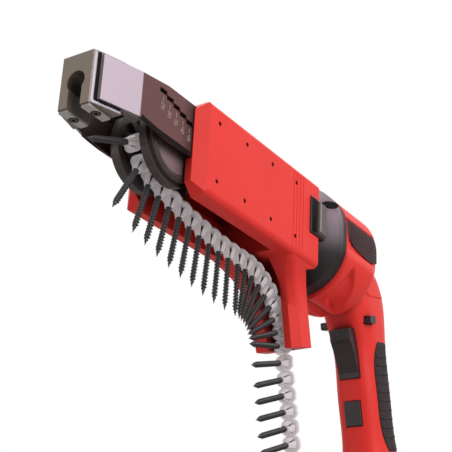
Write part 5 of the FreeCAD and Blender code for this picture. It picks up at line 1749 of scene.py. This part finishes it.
    def fairing(self, side: Side) -> None:
        """Smooth filling of the corner between the barrel's rear and the tail.

        The side of the shell is sampled on a grid, blurred, and laid over the shell wherever
        the blurred side stands outside it.

        Args:
            side: side of the tool.
        """
        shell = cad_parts[f"body_shell_{side.word}"]
        xs, zs = (steps(start, end, int((end - start) / self.fairing_step) + 1)
                  for start, end in (self.fairing_xs, self.fairing_zs))
        reach: Dict[Cell, Optional[float]] = {}
        for row, z in enumerate(zs):
            for column, x in enumerate(xs):
                found, point, _, _ = shell.ray_cast(stand(x, side.value * RAY_START, z), -side.out)
                depth = side.value * point.y / MM if found else 0.0
                reach[row, column] = depth if depth > self.shell_least else None
        span = int(self.fairing_reach / self.fairing_step)
        reaches = range(-span, span + 1)
        weights = [(step, math.exp(-self.fairing_blur * (step / span) ** 2)) for step in reaches]
        soft = blurred(blurred(reach, weights, (0, 1)), weights, (1, 0))
        sculpt = Sculpt()
        numbers: Dict[Cell, int] = {}
        added: Dict[Cell, float] = {}
        for key, value in reach.items():
            if value is not None and key in soft:
                x, z = xs[key[1]], zs[key[0]]
                added[key] = (soft[key] - value) * (self.fairing_window(x, z) * self.inland(reach, key))
                lift = added[key] if added[key] > self.fairing_least else -self.fairing_tuck
                numbers[key] = len(sculpt.verts)
                sculpt.verts.append(stand(x, side.value * (value + lift), z))
        for row, column in added:
            corners = [(row, column), (row, column + 1), (row + 1, column + 1), (row + 1, column)]
            whole = all(corner in added for corner in corners)
            if whole and any(added[corner] > self.fairing_least for corner in corners):
                sculpt.faces.append(tuple(numbers[corner] for corner in corners))
        sculpt.piece(f"tail_fairing_{side.word}", RED, Body.GUN, smooth=60.0)

    def pockets(self, side: Side) -> None:
        """Painted shade as a dark oval pocket on the gearcase's shoulder.

        Args:
            side: side of the tool.
        """
        x, y, z = self.pocket
        ahead, aside, above = self.pocket_out
        out = (ALONG * ahead + side.out * aside + ABOVE * above).normalized()
        wide = out.cross(ABOVE).normalized()
        high = wide.cross(out)
        middle, _ = hit("gearcase", drive(x, side.value * y, z) + out * self.pocket_ray * MM, -out)
        half_width, half_height = (size * MM for size in self.pocket_size)
        outline = [middle + wide * half_width * math.cos(turn) + high * half_height * math.sin(turn)
                   for turn in around(count=24)]
        sculpt = Sculpt().slab(outline, out, *self.pocket_rise)
        sculpt.piece(f"gearcase_pocket_{side.word}", PAINTED_SHADE, Body.GUN)

    def handle_side(self, x: float, z: float, side: Side) -> Spot:
        """A point on the handle's side and its normal, from the left shell, which has no screw holes.

        Args:
            x: place ahead of the pack's middle.
            z: height above the floor.
            side: side of the tool.

        Returns:
            The point in metres and the direction.
        """
        point, normal = hit("body_shell_left", stand(x, RAY_START, z), -Side.LEFT.out)
        mirror = Vector((1, side.value, 1))
        return point * mirror, normal * mirror

    def grip_panel(self, side: Side) -> None:
        """Moulded rubber panel with ribs on one side of the handle.

        Args:
            side: side of the tool.
        """
        low, high = self.grip_levels
        grid = []
        for share in hemmed(edge=0.02, inset=0.06, count=23):
            z = low + (high - low) * share
            width = (self.grip_front - self.grip_back) * (1.0 - self.grip_taper * abs(2 * share - 1) ** 4)
            places = [self.grip_back + width * part for part in hemmed(edge=0.03, inset=0.1, count=8)]
            grid.append([self.handle_side(x, z, side) for x in places])
        sculpt = Sculpt().skin(grid, self.grip_rise)
        for line in grid[4:-4:2]:
            sculpt.ribbon(lifted(line[2:-2], self.grip_rise), *self.grip_rib)
        sculpt.piece(f"grip_panel_{side.word}", SOFT_BLACK, Body.GUN)

    def tail_panel(self, side: Side) -> None:
        """Raised bare panel on the side of the tail.

        Args:
            side: side of the tool.
        """
        (rear, low), (length, height) = self.panel_corner, self.panel_size
        grid = []
        for share in hemmed(edge=0.05, inset=0.12, count=8):
            line = []
            for part in hemmed(edge=0.05, inset=0.12, count=10):
                x = rear + length * part + self.panel_lean * share
                z = low + height * share - self.panel_slope * (1 - part) * share
                line.append(hit(f"body_shell_{side.word}", stand(x, side.value * RAY_START, z), -side.out))
            grid.append(line)
        Sculpt().skin(grid, self.panel_rise).piece(f"tail_panel_{side.word}", RED, Body.GUN)

    def back_ribs(self) -> None:
        """Cross ribs on the rubber down the handle's back."""
        sculpt = Sculpt()
        for z in steps(*self.back_levels, count=20):
            places = steps(-self.back_half, self.back_half, count=7)
            line = [hit("grip_pad", stand(-RAY_START, y, z), AHEAD) for y in places]
            sculpt.ribbon(line, *self.back_rib)
        sculpt.piece("back_ribs", SOFT_BLACK, Body.GUN)

    def trigger_ribs(self) -> None:
        """Upright ribs on the trigger's upper face."""
        sculpt = Sculpt()
        for y in steps(-self.trigger_half, self.trigger_half, count=7):
            levels = steps(*self.trigger_levels, count=5)
            line = [(hit("trigger", stand(RAY_START, y, z), -AHEAD)[0], AHEAD) for z in levels]
            sculpt.ribbon(line, *self.trigger_rib)
        sculpt.piece("trigger_ribs", BUTTON, Body.TRIGGER)

    def build(self) -> None:
        """Dress the gun and put the finer pieces on it."""
        dress({
            GEARCASE: ("gearcase",),
            GLASS: ("work_light",),
            RED: both("body_shell"),
            FASTENER: ("body_screws",),
            SOFT_BLACK: (*both("vent_panel"), "grip_pad"),
            BUTTON: ("trigger", "direction_shuttle", "lock_button"),
            INNER: ("switch_module", "control_board", "terminal_block"),
        })
        self.barrel_trim()
        self.back_ribs()
        self.trigger_ribs()
        for side in Side:
            self.scooped_side(side)
            self.vents(side)
            self.barrel_cap(side)
            self.fairing(side)
            self.pockets(side)
            self.grip_panel(side)
            self.tail_panel(side)
        coil = Coil("wound_trigger_spring", "trigger_spring", stand(*self.spring_start), AHEAD,
                    self.spring_length, radius=3.6, wire=0.9, turns=5)
        coil.build("trigger_pull", self.spring_keep)


@dataclass
class DriveTrain:
    """Spindle, gears, bearings and motor inside the gun."""

    def build(self) -> None:
        """Dress the drive train."""
        dress({
            STEEL: ("spindle", "spindle_gear", "motor_pinion", "driver_bit", "spindle_bearing_front",
                    "spindle_bearing_rear", "motor_bearing_front", "motor_bearing_rear"),
            ALLOY: ("mid_plate", "rear_plate"),
            IRON: ("motor_stator", "motor_rotor"),
            INNER: ("motor_fan",),
        })


@dataclass
class BatteryPack:
    """Slide-on battery pack that the tool stands on."""

    half_length: float = 61.0
    half_width: float = 39.0
    corner: float = 9.0
    split: float = 23.0
    seam_size: Span = (1.1, 0.3)
    rib_levels: Tuple[float, ...] = (6.0, 9.5, 13.0, 16.5)
    rib_half: float = 44.0
    rib_size: Span = (1.6, 0.5)
    gauge_at: float = 32.0
    window: Span = (17.0, 4.2)
    window_rise: float = 0.4
    light: Span = (1.8, 1.1)
    light_rise: Span = (0.25, 0.2)
    light_places: Tuple[float, ...] = (-10.5, -5.0, 0.5, 6.0)
    key: Span = (2.6, 2.6)
    key_rise: Span = (0.6, 0.5)
    key_at: float = 12.5

    def rail(self, z: float) -> List[Spot]:
        """A line round the pack at a height.

        Args:
            z: height above the floor.

        Returns:
            The points with the directions out of the pack.
        """
        line = []
        for quarter, (ahead, left) in enumerate(((1, 1), (-1, 1), (-1, -1), (1, -1))):
            for turn in arc(90 * quarter, 90 * quarter + 90, count=7):
                x = ahead * (self.half_length - self.corner) + self.corner * math.cos(turn)
                y = left * (self.half_width - self.corner) + self.corner * math.sin(turn)
                line.append((stand(x, y, z), Vector((math.cos(turn), math.sin(turn), 0))))
        return line

    def trim(self) -> None:
        """Seam at the parting line and ribs on the lower case's sides."""
        seam = Sculpt().ribbon(self.rail(self.split), *self.seam_size, loop=True)
        seam.piece("pack_seam", SOFT_BLACK, Body.BATTERY)
        ribs = Sculpt()
        for side in Side:
            y = side.value * self.half_width
            for z in self.rib_levels:
                line = [(stand(x, y, z), side.out) for x in steps(-self.rib_half, self.rib_half, count=8)]
                ribs.ribbon(line, *self.rib_size)
        ribs.piece("pack_ribs", PACK_BLACK, Body.BATTERY)

    def front_box(self, y: float, size: Span, lift: float) -> Ring:
        """Corners of a box on the pack's front at the gauge's height.

        Args:
            y: the box's middle, to the tool's left.
            size: half its width and half its height.
            lift: distance ahead of the case.

        Returns:
            The corners in metres.
        """
        x, (wide, high) = self.half_length + lift, size
        corners = ((-1, -1), (1, -1), (1, 1), (-1, 1))
        return [stand(x, y + wide * left, self.gauge_at + high * up) for left, up in corners]

    def gauge(self) -> None:
        """Charge gauge on the front: a dark window, four lights and a key."""
        rise = self.window_rise
        window = Sculpt().slab(self.front_box(0, self.window, 0), AHEAD, rise, rise)
        window.piece("gauge_window", BUTTON, Body.BATTERY)
        lights = Sculpt()
        for y in self.light_places:
            lights.slab(self.front_box(y, self.light, rise), AHEAD, *self.light_rise)
        lights.piece("gauge_lights", MARKING, Body.BATTERY)
        key = Sculpt().slab(self.front_box(self.key_at, self.key, rise), AHEAD, *self.key_rise)
        key.piece("gauge_key", SOFT_BLACK, Body.BATTERY)

    def build(self) -> None:
        """Dress the pack and trim it."""
        dress({
            PACK_BLACK: ("battery_case_lower",),
            PACK_RED: ("battery_case_upper",),
            SLEEVE: ("battery_cells",),
            BRASS: ("battery_contacts",),
            BUTTON: both("battery_latch"),
        })
        self.trim()
        self.gauge()


@dataclass
class Studio:
    """Camera, floor and soft light, in metres, with the focal length in the picture's pixels.

    lamps holds name, place, aim, size and power.
    """

    eye: Point = (0.7372, 0.36125, 0.0863)
    right: Point = (-0.54861777, 0.83259257, -0.07621124)
    down: Point = (-0.14236204, -0.18284939, -0.97277908)
    focal: float = 1100.0
    picture: float = 452.0
    sensor: float = 36.0
    clip: Span = (0.01, 50.0)
    floor_reach: float = 6.0
    floor_tint: Colour = (0.86, 0.86, 0.86)
    floor_fade: Span = (0.35, 1.1)
    floor_bounce: Colour = (0.52, 0.52, 0.52)
    lamps: Tuple[Tuple[str, Point, Point, float, float], ...] = (
        ("key_lamp", (0.35, 1.5, 0.95), (0.1, 0.0, 0.2), 1.2, 19.0),
        ("top_lamp", (-0.3, -0.2, 1.7), (0.1, 0.0, 0.2), 1.4, 12.0),
        ("fill_lamp", (1.5, -0.7, 0.7), (0.15, 0.0, 0.2), 1.2, 2.5))
    surround: Colour = (1.0, 0.99, 0.98)
    surround_strength: float = 0.36

    def camera(self) -> None:
        """Put the camera where the photograph was taken from."""
        data = bpy.data.cameras.new("camera")
        data.sensor_width = self.sensor
        data.lens = self.focal / self.picture * self.sensor
        data.clip_start, data.clip_end = self.clip
        right, up = Vector(self.right), -Vector(self.down)
        turn = Matrix((right, up, right.cross(up))).transposed()
        camera = bpy.data.objects.new("camera", data)
        camera.matrix_world = Matrix.Translation(Vector(self.eye)) @ turn.to_4x4()
        bpy.context.scene.collection.objects.link(camera)
        bpy.context.scene.camera = camera

    def floor(self) -> None:
        """Lay a pale floor under the tool."""
        signs = ((-1, -1), (1, -1), (1, 1), (-1, 1))
        corners = [(self.floor_reach * x, self.floor_reach * y, 0) for x, y in signs]
        mesh = bpy.data.meshes.new("floor")
        mesh.from_pydata(corners, [], [(0, 1, 2, 3)])
        floor = bpy.data.objects.new("floor", mesh)
        bpy.context.scene.collection.objects.link(floor)
        sheet = NodeSheet("pale_floor")
        eye = sheet.add("ShaderNodeLightPath").outputs["Is Camera Ray"]
        pale = sheet.mottle(self.floor_tint, amount=0.01, scale=2.0)
        sheet.paint(sheet.blend(eye, self.floor_bounce, pale))
        sheet.gloss(low=0.7, high=0.8, scale=3.0)
        self.fade_out(sheet, eye)
        floor.data.materials.append(sheet.material)

    def fade_out(self, sheet: NodeSheet, eye: Socket) -> None:
        """Let the far floor turn to plain white for the eye, with no light of its own.

        Args:
            sheet: node tree of the floor.
            eye: one where the camera looks, nothing for other rays.
        """
        distance = sheet.vector("LENGTH", sheet.place).outputs["Value"]
        far = sheet.spread(distance, 0.0, 1.0, *self.floor_fade)
        white = sheet.add("ShaderNodeEmission", Strength=1.0).outputs["Emission"]
        mix = sheet.add("ShaderNodeMixShader", Fac=sheet.math("MULTIPLY", far, eye))
        sheet.feed(mix.inputs[1], sheet.shader.outputs["BSDF"])
        sheet.feed(mix.inputs[2], white)
        sheet.feed(sheet.output.inputs["Surface"], mix.outputs["Shader"])

    def lamp(self, name: str, place: Point, aim: Point, size: float, power: float) -> None:
        """Hang one square soft lamp.

        Args:
            name: name of the lamp.
            place: where it hangs.
            aim: point that it faces.
            size: side of the square.
            power: power in watts.
        """
        data = bpy.data.lights.new(name, "AREA")
        data.size = size
        data.energy = power
        lamp = bpy.data.objects.new(name, data)
        lamp.location = place
        lamp.rotation_euler = (Vector(aim) - Vector(place)).to_track_quat("-Z", "Y").to_euler()
        bpy.context.scene.collection.objects.link(lamp)

    def world(self) -> None:
        """A white surround to look at, and an even dimmer one to light by."""
        world = bpy.data.worlds.new("surround")
        world.use_nodes = True
        tree = world.node_tree
        tree.nodes.clear()
        output, lit, seen, path, bounced, shown, mix = (tree.nodes.new(f"ShaderNode{kind}") for kind in (
            "OutputWorld", "Background", "Background", "LightPath", "Math", "Math", "MixShader"))
        bounced.operation = shown.operation = "MAXIMUM"
        for node, tint, strength in ((lit, self.surround, self.surround_strength), (seen, (1, 1, 1), 1.0)):
            node.inputs["Color"].default_value = (*tint, 1)
            node.inputs["Strength"].default_value = strength
        for source, target in (
                (path.outputs["Is Glossy Ray"], bounced.inputs[0]),
                (path.outputs["Is Transmission Ray"], bounced.inputs[1]),
                (path.outputs["Is Camera Ray"], shown.inputs[0]),
                (bounced.outputs["Value"], shown.inputs[1]),
                (shown.outputs["Value"], mix.inputs["Fac"]),
                (lit.outputs["Background"], mix.inputs[1]),
                (seen.outputs["Background"], mix.inputs[2]),
                (mix.outputs["Shader"], output.inputs["Surface"])):
            tree.links.new(source, target)
        bpy.context.scene.world = world

    def build(self) -> None:
        """Set up camera, floor, lamps, surround and the plain view transform."""
        self.camera()
        self.floor()
        for lamp in self.lamps:
            self.lamp(*lamp)
        self.world()
        bpy.context.scene.view_settings.view_transform = "Standard"


def main() -> None:
    """Build the tool's sub-assemblies in order, then the studio."""
    logging.basicConfig(level=logging.INFO, format="%(name)s: %(message)s")
    for assembly in (ScrewStrip(), Magazine(), Nose(), FeedCarriage(), Gun(), DriveTrain(), BatteryPack(),
                     Studio()):
        assembly.build()
        LOG.info("built %s", type(assembly).__name__)


if __name__ == "__main__":
    main()
